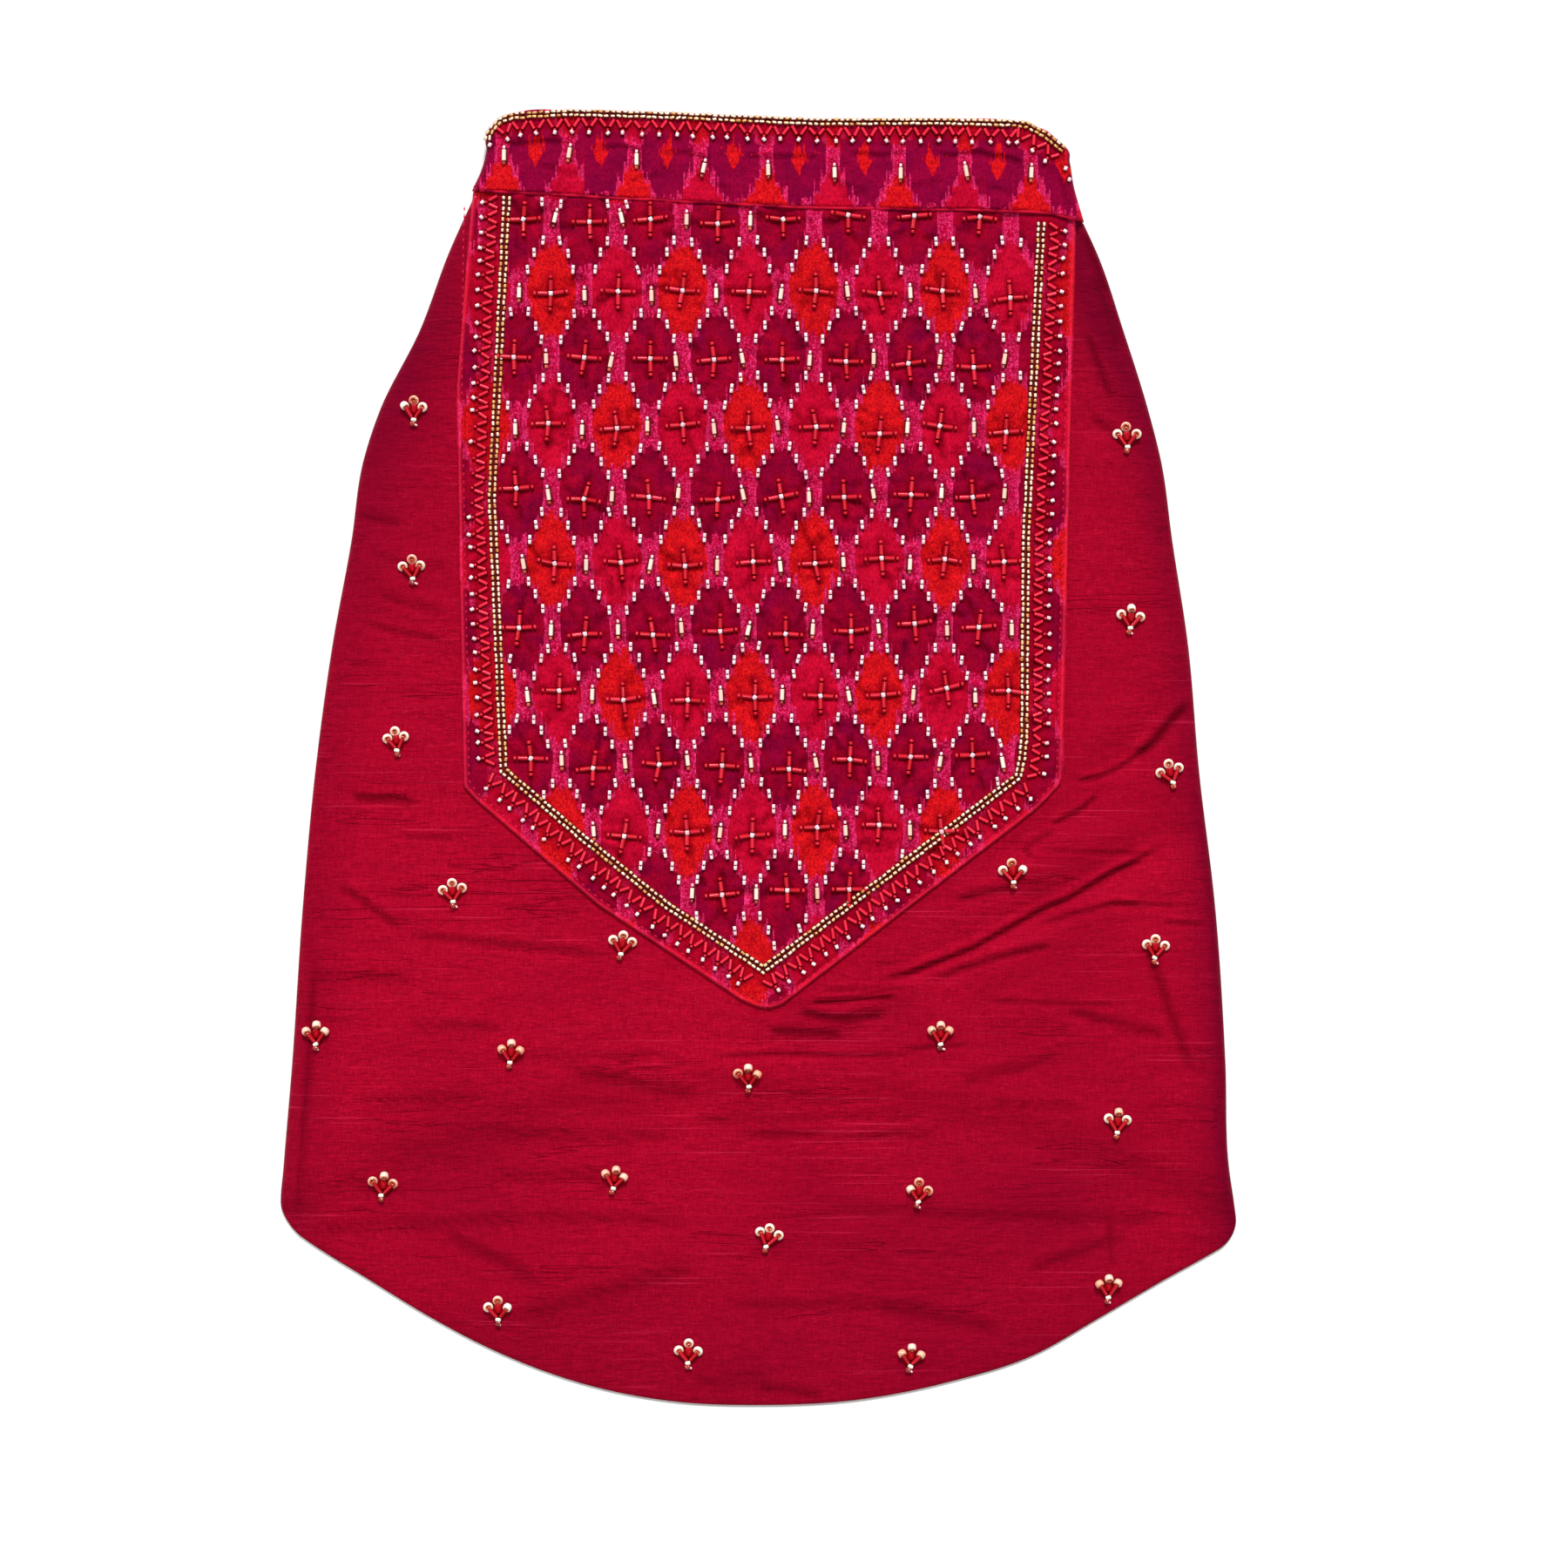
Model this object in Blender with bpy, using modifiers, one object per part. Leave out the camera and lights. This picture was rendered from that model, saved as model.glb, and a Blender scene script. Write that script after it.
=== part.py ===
"""Dog sherwani, laid flat: a back panel over a belly panel, a stand collar and a beaded yoke.

Metres, +Z up. The garment lies on z = 0 with its collar towards +Y, and the origin is the
middle of its outline on the floor. Tables and sizes are in millimetres, as a maker measures.
"""

import math

import bmesh
import bpy
import numpy as np
from mathutils import Vector
from mathutils.bvhtree import BVHTree

MM = 0.001

# Cloth and seams
CLOTH_THICK = 1.2
YOKE_THICK = 1.0
COLLAR_THICK = 1.4
BELLY_THICK = 1.2
SEAM_GAP = 0.3

# How the laid cloth stands off the floor
AIR_UNDER_BACK = 1.9
AIR_UNDER_TAIL = 1.0
SIDE_ROLL = 8.0
HEM_ROLL = 14.0
TAIL_DROP = 16.0
COLLAR_HEIGHT_AT_SEAM = 6.3
COLLAR_HEIGHT_AT_TOP = 5.2

# Mesh steps
EDGE_STEPS = (0.0, 1.6, 4.2, 8.0)
COLUMN_STEP = 9.0
ROW_STEP = 9.0
COLLAR_COLUMNS = 20
COLLAR_ROWS = (0.0, 0.3, 0.6, 0.88, 1.0)
FOLD_POINTS = 4
CUT_SNAP = 0.02
WELD = 0.01

# Trims
CORD_WIDTH = 2.9
CORD_THICK = 1.2
SPRIG_THICK = 1.6
SPRIG_LENGTH = 10.0
SPRIG_TOE_RADIUS = 1.1
PETAL_RADIUS = 1.5
PETAL_POINTS = 4
PETAL_TURN = 40.0

# Belly panel
BELLY_INSET = 0.6
LEG_CENTRE_X = 50.0
LEG_CENTRE_Y = 72.0
LEG_HALF_WIDTH = 24.0
LEG_HALF_LENGTH = 33.0
LEG_POINTS = 28
BELLY_EDGE_POINTS = 20

# Corners of the back panel: x, y
NECK_LEFT = (-87.9, 175.7)
NECK_RIGHT = (100.3, 165.9)
CORNER_LEFT = (-148.0, -144.6)
CORNER_RIGHT = (148.5, -147.6)

# Side seams: y, left x, right x
SIDES = (
    (156.3, -96.3, 104.4),
    (132.0, -105.4, 112.7),
    (107.7, -117.6, 120.3),
    (91.5, -122.9, 124.4),
    (67.2, -126.5, 127.8),
    (34.8, -132.4, 132.7),
    (-5.0, -137.8, 136.2),
    (-46.2, -141.6, 141.1),
    (-94.8, -144.9, 144.3),
    (-127.2, -147.6, 145.4),
    (-139.5, -148.5, 147.2),
)

# Tail hem: x, y
HEM = (
    (-140.8, -149.8),
    (-121.9, -161.7),
    (-103.0, -173.3),
    (-84.1, -183.3),
    (-55.8, -194.1),
    (-27.4, -199.8),
    (0.9, -201.0),
    (29.3, -199.5),
    (57.6, -194.1),
    (86.0, -185.0),
    (104.9, -174.2),
    (123.8, -163.1),
    (142.5, -152.6),
)

# Collar seam: x, y
NECK_SEAM = (
    (-59.3, 174.7),
    (-32.8, 173.1),
    (-5.8, 171.6),
    (32.8, 170.4),
    (71.7, 169.2),
    (92.0, 167.9),
)

# Stand collar, from the seam up: share of the height, left x, left y, right x, right y
COLLAR_ENDS = (
    (0.0, -87.9, 176.0, 100.3, 166.2),
    (0.3, -85.6, 182.2, 97.3, 176.8),
    (0.6, -84.6, 188.2, 96.0, 184.6),
    (0.88, -84.2, 193.3, 94.2, 190.2),
    (1.0, -81.4, 197.4, 89.2, 194.6),
)

# Top edge of the collar: x, y
COLLAR_TOP = (
    (-75.5, 199.9),
    (-57.1, 200.85),
    (-24.7, 199.8),
    (18.5, 197.9),
    (55.0, 198.1),
    (77.9, 197.6),
)

# Belly hem, cut higher than the tail: x, y
BELLY_HEM = (
    (-147.0, -130.0),
    (-105.0, -113.0),
    (-55.0, -99.0),
    (0.0, -94.0),
    (55.0, -99.0),
    (105.0, -113.0),
    (145.5, -130.0),
)

# Yoke outline, round from its top left: x, y
YOKE = (
    (-88.6, 176.5),
    (-93.8, 113.0),
    (-91.6, -9.2),
    (-87.6, -13.5),
    (-50.0, -45.9),
    (-5.5, -75.4),
    (-0.5, -77.4),
    (3.2, -77.8),
    (7.0, -76.6),
    (93.3, -8.4),
    (97.8, 167.7),
)

# Middle of the double row of gold beads on the yoke: x, y
YOKE_CORD = (
    (-78.7, 178.5),
    (-82.8, 80.0),
    (-79.0, -4.1),
    (-56.0, -23.8),
    (-29.6, -45.1),
    (1.2, -65.6),
    (79.5, -6.5),
    (82.0, 67.0),
    (87.0, 172.5),
)

# Largest folds of the laid cloth: x and y of both ends, half width, height (a trough is less than 0)
FOLDS = (
    (129.0, -25.0, 88.0, -46.0, 6.0, -1.2),
    (88.0, -46.0, 36.0, -69.5, 5.5, -1.0),
    (121.0, -37.0, 70.0, -66.0, 7.0, 1.0),
    (134.0, 22.0, 112.0, 0.0, 6.0, -0.8),
    (112.0, 0.0, 94.0, -9.0, 5.5, -0.8),
    (104.0, -12.5, 77.0, -28.0, 5.5, -0.8),
    (112.0, -22.0, 84.0, -35.0, 6.0, 0.8),
    (40.0, -80.0, 8.0, -92.0, 6.0, -0.7),
    (-78.0, -173.0, -18.0, -156.0, 11.0, 0.9),
    (30.0, -148.0, 96.0, -128.0, 12.0, 0.7),
    (-112.0, -86.0, -60.0, -64.0, 10.0, 0.6),
    (-128.0, 66.0, -100.0, 44.0, 7.0, 0.6),
    (-118.0, -14.0, -98.0, -12.0, 5.5, -0.6),
    (106.0, 92.0, 120.0, 62.0, 7.0, 0.7),
    (-62.0, 142.0, -26.0, 66.0, 20.0, 0.5),
    (12.0, 152.0, 58.0, 96.0, 20.0, -0.4),
    (-44.0, 26.0, 28.0, -18.0, 18.0, 0.5),
    (48.0, 66.0, 72.0, 6.0, 16.0, -0.4),
    (-8.0, 112.0, 6.0, 44.0, 15.0, 0.4),
    (-74.0, 40.0, -62.0, -6.0, 14.0, -0.3),
)

# Petals of a sprig: x of its middle, drop from the top one, turn of its first point in degrees
PETALS = (
    (2.95, 2.2, -50.0),
    (0.0, 0.0, 30.0),
    (-2.95, 2.2, 110.0),
)

# Sprigs of beads on the silk: x, y of the middle
SPRIGS = (
    (-106.8, 107.2), (-107.3, 58.1), (-112.2, 5.1), (-94.9, -41.6), (-42.5, -57.8), (-137.0, -85.6),
    (-76.8, -91.3), (-3.6, -98.8), (-116.5, -132.6), (-45.0, -130.4), (2.6, -148.5), (-80.9, -170.9),
    (-22.0, -184.4), (46.8, -185.5), (107.9, -164.2), (49.3, -134.5), (110.6, -112.9), (55.8, -85.6),
    (122.2, -58.9), (78.2, -35.6), (126.8, -4.9), (114.6, 42.9), (113.3, 98.8),
)


def through(rows, at):
    """Value at a place on the smooth curve through rows of (place, value)."""
    rows = sorted(rows)
    places = np.array([row[0] for row in rows])
    values = np.array([row[1] for row in rows])
    slopes = np.gradient(values, places)
    i = int(np.clip(np.searchsorted(places, at) - 1, 0, len(rows) - 2))
    step = places[i + 1] - places[i]
    t = min(max((at - places[i]) / step, 0.0), 1.0)
    start = (1 + 2 * t) * (1 - t) ** 2 * values[i] + t * (1 - t) ** 2 * step * slopes[i]
    end = t * t * (3 - 2 * t) * values[i + 1] + t * t * (t - 1) * step * slopes[i + 1]
    return float(start + end)


def ease(share):
    """A smooth rise from 0 to 1."""
    share = min(max(share, 0.0), 1.0)
    return share * share * (3 - 2 * share)


def side(y, column, top, bottom):
    """x of a side seam at y: column 1 is the left seam and 2 the right one."""
    rows = [(row[0], row[column]) for row in SIDES]
    rows += [(top[1], top[0]), (bottom[1], bottom[0])]
    return through(rows, y)


def left_side(y):
    return side(y, 1, NECK_LEFT, CORNER_LEFT)


def right_side(y):
    return side(y, 2, NECK_RIGHT, CORNER_RIGHT)


def neck_seam(x):
    return through((NECK_LEFT,) + NECK_SEAM + (NECK_RIGHT,), x)


def tail_hem(x):
    return through((CORNER_LEFT,) + HEM + (CORNER_RIGHT,), x)


def fold_height(x, y):
    """Height that the folds add at a place: a soft bell across each, fading at its ends."""
    height = 0.0
    for x0, y0, x1, y1, half_width, rise in FOLDS:
        run = math.hypot(x1 - x0, y1 - y0)
        along = ((x - x0) * (x1 - x0) + (y - y0) * (y1 - y0)) / run
        across = ((x - x0) * (y1 - y0) - (y - y0) * (x1 - x0)) / run
        past_end = max(-along, along - run, 0.0)
        height += rise * math.exp(-(across / half_width) ** 2 - (past_end / half_width) ** 2)
    return height


def back_height(x, y):
    """Height of the back panel's outer face over the floor."""
    past_belly = through(BELLY_HEM, x) - y
    on_floor = ease((past_belly - SEAM_GAP) / TAIL_DROP)
    rest = (BELLY_THICK + SEAM_GAP) * (1 - on_floor)
    air = AIR_UNDER_BACK + (AIR_UNDER_TAIL - AIR_UNDER_BACK) * on_floor
    from_side = min(x - left_side(y), right_side(y) - x)
    from_hem = y - tail_hem(x)
    roll = math.sin(0.5 * math.pi * min(max(from_side / SIDE_ROLL, 0.0), 1.0))
    roll *= math.sin(0.5 * math.pi * min(max(from_hem / HEM_ROLL, 0.0), 1.0))
    return rest + CLOTH_THICK + roll * (air + fold_height(x, y))


def shares(length, step, from_start, from_end):
    """Shares of a length with fine steps at the ends that are rolled, and even ones between."""
    start = EDGE_STEPS if from_start else EDGE_STEPS[:1]
    end = EDGE_STEPS if from_end else EDGE_STEPS[:1]
    between = length - start[-1] - end[-1]
    count = round(between / step)
    even = [start[-1] + between * i / count for i in range(1, count)]
    places = list(start) + even + [length - e for e in reversed(end)]
    return [place / length for place in places]


def back_point(u, v):
    """Place on the back panel: u runs from the left seam to the right one, v from neck to hem."""
    top_x = NECK_LEFT[0] + u * (NECK_RIGHT[0] - NECK_LEFT[0])
    hem_x = CORNER_LEFT[0] + u * (CORNER_RIGHT[0] - CORNER_LEFT[0])
    left_y = NECK_LEFT[1] + v * (CORNER_LEFT[1] - NECK_LEFT[1])
    right_y = NECK_RIGHT[1] + v * (CORNER_RIGHT[1] - NECK_RIGHT[1])
    top = Vector((top_x, neck_seam(top_x)))
    hem = Vector((hem_x, tail_hem(hem_x)))
    left = Vector((left_side(left_y), left_y))
    right = Vector((right_side(right_y), right_y))
    corners = (1 - v) * ((1 - u) * Vector(NECK_LEFT) + u * Vector(NECK_RIGHT))
    corners += v * ((1 - u) * Vector(CORNER_LEFT) + u * Vector(CORNER_RIGHT))
    return (1 - v) * top + v * hem + (1 - u) * left + u * right - corners


def back_surface():
    """The back panel's outer face, as a triangulated grid in millimetres."""
    width = CORNER_RIGHT[0] - CORNER_LEFT[0]
    length = NECK_SEAM[2][1] - HEM[len(HEM) // 2][1]
    us = shares(width, COLUMN_STEP, True, True)
    vs = shares(length, ROW_STEP, False, True)
    bm = bmesh.new()
    rows = []
    for v in vs:
        row = []
        for u in us:
            x, y = back_point(u, v)
            row.append(bm.verts.new((x, y, back_height(x, y))))
        rows.append(row)
    for upper, lower in zip(rows, rows[1:]):
        for i in range(len(us) - 1):
            bm.faces.new((upper[i], lower[i], lower[i + 1]))
            bm.faces.new((upper[i], lower[i + 1], upper[i + 1]))
    bm.normal_update()
    return bm


def keep_one_side(bm, point, outward):
    """Cut the mesh by an upright plane and drop what lies on its outward side."""
    everything = bm.verts[:] + bm.edges[:] + bm.faces[:]
    bmesh.ops.bisect_plane(bm, geom=everything, plane_co=(*point, 0.0), plane_no=(*outward, 0.0),
                           dist=CUT_SNAP, clear_outer=True)


def outward_of(start, end):
    """Right-hand side of the way from start to end."""
    way = Vector(end) - Vector(start)
    return Vector((way.y, -way.x)).normalized()


def moved_up(bm, height):
    for vert in bm.verts:
        vert.co.z += height


def material(name, colour, roughness, metallic):
    made = bpy.data.materials.new(name)
    made.use_nodes = True
    shader = made.node_tree.nodes["Principled BSDF"]
    shader.inputs["Base Color"].default_value = (*colour, 1.0)
    shader.inputs["Roughness"].default_value = roughness
    shader.inputs["Metallic"].default_value = metallic
    return made


def add_piece(name, bm, finish, parts):
    """One named object from a mesh in millimetres."""
    bmesh.ops.triangulate(bm, faces=bm.faces[:])
    bmesh.ops.scale(bm, vec=(MM, MM, MM), verts=bm.verts[:])
    mesh = bpy.data.meshes.new(name)
    bm.to_mesh(mesh)
    bm.free()
    mesh.shade_smooth()
    mesh.materials.append(finish)
    piece = bpy.data.objects.new(name, mesh)
    parts.objects.link(piece)
    return piece


def add_wall(name, bm, thick, offset, finish, parts):
    """A wall of cloth from an open surface, thickened to one side of it."""
    wall = add_piece(name, bm, finish, parts).modifiers.new("wall", "SOLIDIFY")
    wall.thickness = thick * MM
    wall.offset = offset
    wall.use_even_offset = True


def make_back_panel(surface, finish, parts):
    """Back and sides in raw silk, one wall from side seam to side seam."""
    add_wall("back_panel", surface.copy(), CLOTH_THICK, -1.0, finish, parts)


def make_yoke_panel(surface, finish, parts):
    """Pointed ikat yoke: cut from the back panel's face and moved out."""
    bm = surface.copy()
    for start, end in zip(YOKE, YOKE[1:]):
        keep_one_side(bm, start, outward_of(start, end))
    moved_up(bm, SEAM_GAP)
    add_wall("yoke_panel", bm, YOKE_THICK, 1.0, finish, parts)


def mitre(points, i):
    """Direction along a line of points at one of them, halved between its two stretches."""
    before = Vector(points[i]) - Vector(points[max(i - 1, 0)])
    after = Vector(points[min(i + 1, len(points) - 1)]) - Vector(points[i])
    if before.length:
        before.normalize()
    if after.length:
        after.normalize()
    return (before + after).normalized()


def make_yoke_cord(surface, finish, parts):
    """Double row of gold beads round the yoke, as one raised band on it."""
    band = bmesh.new()
    for i in range(len(YOKE_CORD) - 1):
        start, end = YOKE_CORD[i], YOKE_CORD[i + 1]
        across = outward_of(start, end)
        stretch = surface.copy()
        keep_one_side(stretch, Vector(start) + across * CORD_WIDTH / 2, across)
        keep_one_side(stretch, Vector(start) - across * CORD_WIDTH / 2, -across)
        keep_one_side(stretch, start, -mitre(YOKE_CORD, i))
        keep_one_side(stretch, end, mitre(YOKE_CORD, i + 1))
        mesh = bpy.data.meshes.new("stretch")
        stretch.to_mesh(mesh)
        stretch.free()
        band.from_mesh(mesh)
        bpy.data.meshes.remove(mesh)
    bmesh.ops.remove_doubles(band, verts=band.verts[:], dist=WELD)
    moved_up(band, SEAM_GAP + YOKE_THICK + SEAM_GAP)
    add_wall("yoke_bead_cord", band, CORD_THICK, 1.0, finish, parts)


def collar_row(share):
    """One row of the collar's upper face, from its left end to its right end."""
    ends = {column: through([(row[0], row[column]) for row in COLLAR_ENDS], share)
            for column in (1, 2, 3, 4)}
    left, right = Vector((ends[1], ends[2])), Vector((ends[3], ends[4]))
    last = COLLAR_ENDS[-1]
    top_rows = ((last[1], last[2]),) + COLLAR_TOP + ((last[3], last[4]),)
    row = []
    for i in range(COLLAR_COLUMNS + 1):
        u = i / COLLAR_COLUMNS
        seam_x = NECK_LEFT[0] + u * (NECK_RIGHT[0] - NECK_LEFT[0])
        top_x = last[1] + u * (last[3] - last[1])
        seam_bow = neck_seam(seam_x) - (NECK_LEFT[1] + u * (NECK_RIGHT[1] - NECK_LEFT[1]))
        top_bow = through(top_rows, top_x) - (last[2] + u * (last[4] - last[2]))
        place = left.lerp(right, u)
        row.append(Vector((place.x, place.y + (1 - share) * seam_bow + share * top_bow)))
    return row


def collar_rings(inset):
    """Rings round the flattened collar, over and back under it, inset from its outer face."""
    rings = []
    for share in COLLAR_ROWS:
        row = collar_row(share)
        xs, ys = [place.x for place in row], [place.y for place in row]
        height = COLLAR_HEIGHT_AT_SEAM + share * (COLLAR_HEIGHT_AT_TOP - COLLAR_HEIGHT_AT_SEAM)
        middle = height / 2
        radius = middle - inset
        turns = [math.pi * i / FOLD_POINTS for i in range(FOLD_POINTS + 1)]
        section = [(x, height - inset) for x in xs[1:-1]]
        section += [(xs[-1] - middle + radius * math.sin(a), middle + radius * math.cos(a))
                    for a in turns]
        section += [(x, inset) for x in reversed(xs[1:-1])]
        section += [(xs[0] + middle - radius * math.sin(a), middle - radius * math.cos(a))
                    for a in turns]
        rings.append([Vector((x, float(np.interp(x, xs, ys)), z)) for x, z in section])
    return rings


def lofted(rings, round_rings, round_rows):
    """A surface through rows of points, joined to the next, and closed round either way."""
    bm = bmesh.new()
    rows = [[bm.verts.new(point) for point in ring] for ring in rings]
    count = len(rows[0])
    next_rows = rows[1:] + rows[:1] if round_rows else rows[1:]
    for lower, upper in zip(rows, next_rows):
        for i in range(count if round_rings else count - 1):
            j = (i + 1) % count
            bm.faces.new((lower[i], lower[j], upper[j]))
            bm.faces.new((lower[i], upper[j], upper[i]))
    bm.normal_update()
    return bm


def make_collar(finish, parts):
    """Stand collar, a flattened ring of ikat cloth: lofted up its outside and down its inside."""
    rings = collar_rings(0.0) + collar_rings(COLLAR_THICK)[::-1]
    add_piece("collar_band", lofted(rings, True, True), finish, parts)


def make_collar_cord(finish, parts):
    """Double row of gold beads along the collar's top edge, on its upper face."""
    upper_count = COLLAR_COLUMNS - 1
    strip = [ring[:upper_count] for ring in collar_rings(0.0)[-2:]]
    bm = lofted(strip, False, False)
    moved_up(bm, SEAM_GAP)
    add_wall("collar_bead_cord", bm, CORD_THICK, 1.0, finish, parts)


def belly_outline():
    """The belly panel's cut: neck seam, left seam, belly hem and right seam."""
    neck, left, hem, right = [], [], [], []
    hem_left, hem_right = BELLY_HEM[0], BELLY_HEM[-1]
    for i in range(BELLY_EDGE_POINTS):
        share = i / BELLY_EDGE_POINTS
        neck_x = NECK_RIGHT[0] + (NECK_LEFT[0] - NECK_RIGHT[0]) * share
        neck.append((neck_x, neck_seam(neck_x)))
        left_y = NECK_LEFT[1] + (hem_left[1] - NECK_LEFT[1]) * share
        left.append((left_side(left_y) + BELLY_INSET, left_y))
        hem_x = hem_left[0] + (hem_right[0] - hem_left[0]) * share
        hem.append((hem_x, through(BELLY_HEM, hem_x)))
        right_y = hem_right[1] + (NECK_RIGHT[1] - hem_right[1]) * share
        right.append((right_side(right_y) - BELLY_INSET, right_y))
    return neck + left + hem + right


def leg_opening(centre_x):
    points = []
    for i in range(LEG_POINTS):
        turn = 2 * math.pi * i / LEG_POINTS
        points.append((centre_x + LEG_HALF_WIDTH * math.cos(turn),
                       LEG_CENTRE_Y + LEG_HALF_LENGTH * math.sin(turn)))
    return points


def add_flat(name, outlines, thick, finish, parts):
    """A flat piece: a filled 2D curve with half its thickness each way."""
    curve = bpy.data.curves.new(name, "CURVE")
    curve.dimensions = "2D"
    curve.fill_mode = "BOTH"
    curve.extrude = thick * MM / 2
    for outline in outlines:
        spline = curve.splines.new("POLY")
        spline.points.add(len(outline) - 1)
        for point, (x, y) in zip(spline.points, outline):
            point.co = (x * MM, y * MM, 0.0, 1.0)
        spline.use_cyclic_u = True
    curve.materials.append(finish)
    part = bpy.data.objects.new(name, curve)
    parts.objects.link(part)
    return part


def make_belly_panel(finish, parts):
    """Belly panel, flat on the floor, with two openings for the front legs."""
    outlines = [belly_outline(), leg_opening(-LEG_CENTRE_X), leg_opening(LEG_CENTRE_X)]
    panel = add_flat("belly_panel", outlines, BELLY_THICK, finish, parts)
    panel.location.z = BELLY_THICK * MM / 2


def sprig_outline():
    """Three round petals fanned over a stem that narrows to its toe, middle at the origin."""
    toe_y = -SPRIG_LENGTH / 2
    top_y = SPRIG_LENGTH / 2 - PETAL_RADIUS
    points = [(0.0, toe_y), (SPRIG_TOE_RADIUS, toe_y + SPRIG_TOE_RADIUS)]
    for x, drop, first_turn in PETALS:
        for i in range(PETAL_POINTS):
            turn = math.radians(first_turn + PETAL_TURN * i)
            points.append((x + PETAL_RADIUS * math.cos(turn),
                           top_y - drop + PETAL_RADIUS * math.sin(turn)))
    points.append((-SPRIG_TOE_RADIUS, toe_y + SPRIG_TOE_RADIUS))
    return points


def make_sprigs(surface, finish, parts):
    """Sprigs of beads sewn over the silk, each seated on the highest cloth under it."""
    cloth = BVHTree.FromBMesh(surface)
    down = Vector((0.0, 0.0, -1.0))
    outline = sprig_outline()
    for number, (x, y) in enumerate(SPRIGS, 1):
        under = []
        for dx, dy in outline + [(0.0, 0.0)]:
            above = Vector((x + dx, y + dy, 2 * COLLAR_HEIGHT_AT_SEAM))
            under.append(cloth.ray_cast(above, down)[0].z)
        sprig = add_flat(f"sprig_{number:02d}", [outline], SPRIG_THICK, finish, parts)
        sprig.location = Vector((x, y, max(under) + SEAM_GAP + SPRIG_THICK / 2)) * MM


def main():
    for item in list(bpy.data.objects):
        bpy.data.objects.remove(item, do_unlink=True)
    parts = bpy.data.collections.new("dog_sherwani")
    bpy.context.scene.collection.children.link(parts)
    silk = material("crimson_silk", (0.36, 0.006, 0.022), 0.55, 0.0)
    ikat = material("ikat_silk", (0.42, 0.008, 0.035), 0.6, 0.0)
    gold = material("gold_beads", (0.72, 0.47, 0.33), 0.3, 0.9)
    surface = back_surface()
    make_back_panel(surface, silk, parts)
    make_belly_panel(silk, parts)
    make_yoke_panel(surface, ikat, parts)
    make_collar(ikat, parts)
    make_yoke_cord(surface, gold, parts)
    make_collar_cord(gold, parts)
    make_sprigs(surface, gold, parts)
    surface.free()


main()
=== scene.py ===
import math

import bpy
import numpy as np
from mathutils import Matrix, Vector


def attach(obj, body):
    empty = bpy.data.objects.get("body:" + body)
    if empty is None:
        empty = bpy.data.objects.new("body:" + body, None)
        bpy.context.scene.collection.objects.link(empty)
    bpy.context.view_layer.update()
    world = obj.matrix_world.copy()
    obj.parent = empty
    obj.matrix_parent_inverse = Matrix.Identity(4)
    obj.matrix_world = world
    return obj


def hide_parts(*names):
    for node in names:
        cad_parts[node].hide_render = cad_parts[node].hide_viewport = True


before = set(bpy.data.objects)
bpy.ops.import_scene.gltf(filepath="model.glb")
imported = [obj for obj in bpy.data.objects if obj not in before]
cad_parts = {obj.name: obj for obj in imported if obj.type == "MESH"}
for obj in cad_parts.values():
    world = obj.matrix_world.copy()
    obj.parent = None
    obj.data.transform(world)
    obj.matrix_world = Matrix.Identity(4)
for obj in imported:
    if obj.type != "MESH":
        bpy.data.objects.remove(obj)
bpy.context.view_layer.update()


# Camera: straight above the garment, with its collar at the top of the picture, and as far up as
# it takes for the frame to be FRAME_WIDTH across at the level of the cloth. Millimetres, as all.
MM = 0.001
LENS = 85.0
SENSOR = 36.0
FRAME_WIDTH = 486.0
FRAME_MIDDLE = (7.5, -8.4)
CLOTH_LEVEL = 1.0

camera = bpy.data.objects.new("camera", bpy.data.cameras.new("camera"))
camera.data.lens = LENS
camera.data.sensor_width = SENSOR
camera.data.clip_start = 0.05
camera.data.clip_end = 20.0
camera.location = Vector((*FRAME_MIDDLE, CLOTH_LEVEL + FRAME_WIDTH * LENS / SENSOR)) * MM
bpy.context.collection.objects.link(camera)
bpy.context.scene.camera = camera
bpy.context.scene.view_settings.view_transform = "Standard"


# Studio: a plain white floor and soft light, most of it from beyond the collar and some from low
# on the left, so that the creases show.
WORLD_STRENGTH = 0.34
FLOOR = 2500.0
FLOOR_LEVEL = -0.25
LAMPS = (
    # name, way the light comes from, strength, spread in degrees
    ("light_over_collar", (0.08, 1.0, 0.95), 3.1, 14.0),
    ("light_low_left", (-0.95, 0.55, 0.42), 0.6, 12.0),
    ("light_above", (0.25, -0.15, 1.0), 0.55, 5.0),
)


class Value:
    """What a node in a finish gives. Arithmetic with it adds the node that does it."""

    def __init__(self, finish, socket):
        self.finish = finish
        self.socket = socket

    def __add__(self, other):
        return self.finish.calc("ADD", self, other)

    def __sub__(self, other):
        return self.finish.calc("SUBTRACT", self, other)

    def __rsub__(self, other):
        return self.finish.calc("SUBTRACT", other, self)

    def __mul__(self, other):
        return self.finish.calc("MULTIPLY", self, other)

    def __truediv__(self, other):
        return self.finish.calc("DIVIDE", self, other)

    def __gt__(self, other):
        return self.finish.calc("GREATER_THAN", self, other)

    def __lt__(self, other):
        return self.finish.calc("LESS_THAN", self, other)

    def __abs__(self):
        return self.finish.calc("ABSOLUTE", self)

    def __floor__(self):
        return self.finish.calc("FLOOR", self)

    def ramp(self, low, high, to_low=0.0, to_high=1.0):
        """Stretched from low and high to two other values, and held at them beyond."""
        return self.finish.add("ShaderNodeMapRange", self, low, high, to_low, to_high)


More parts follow.
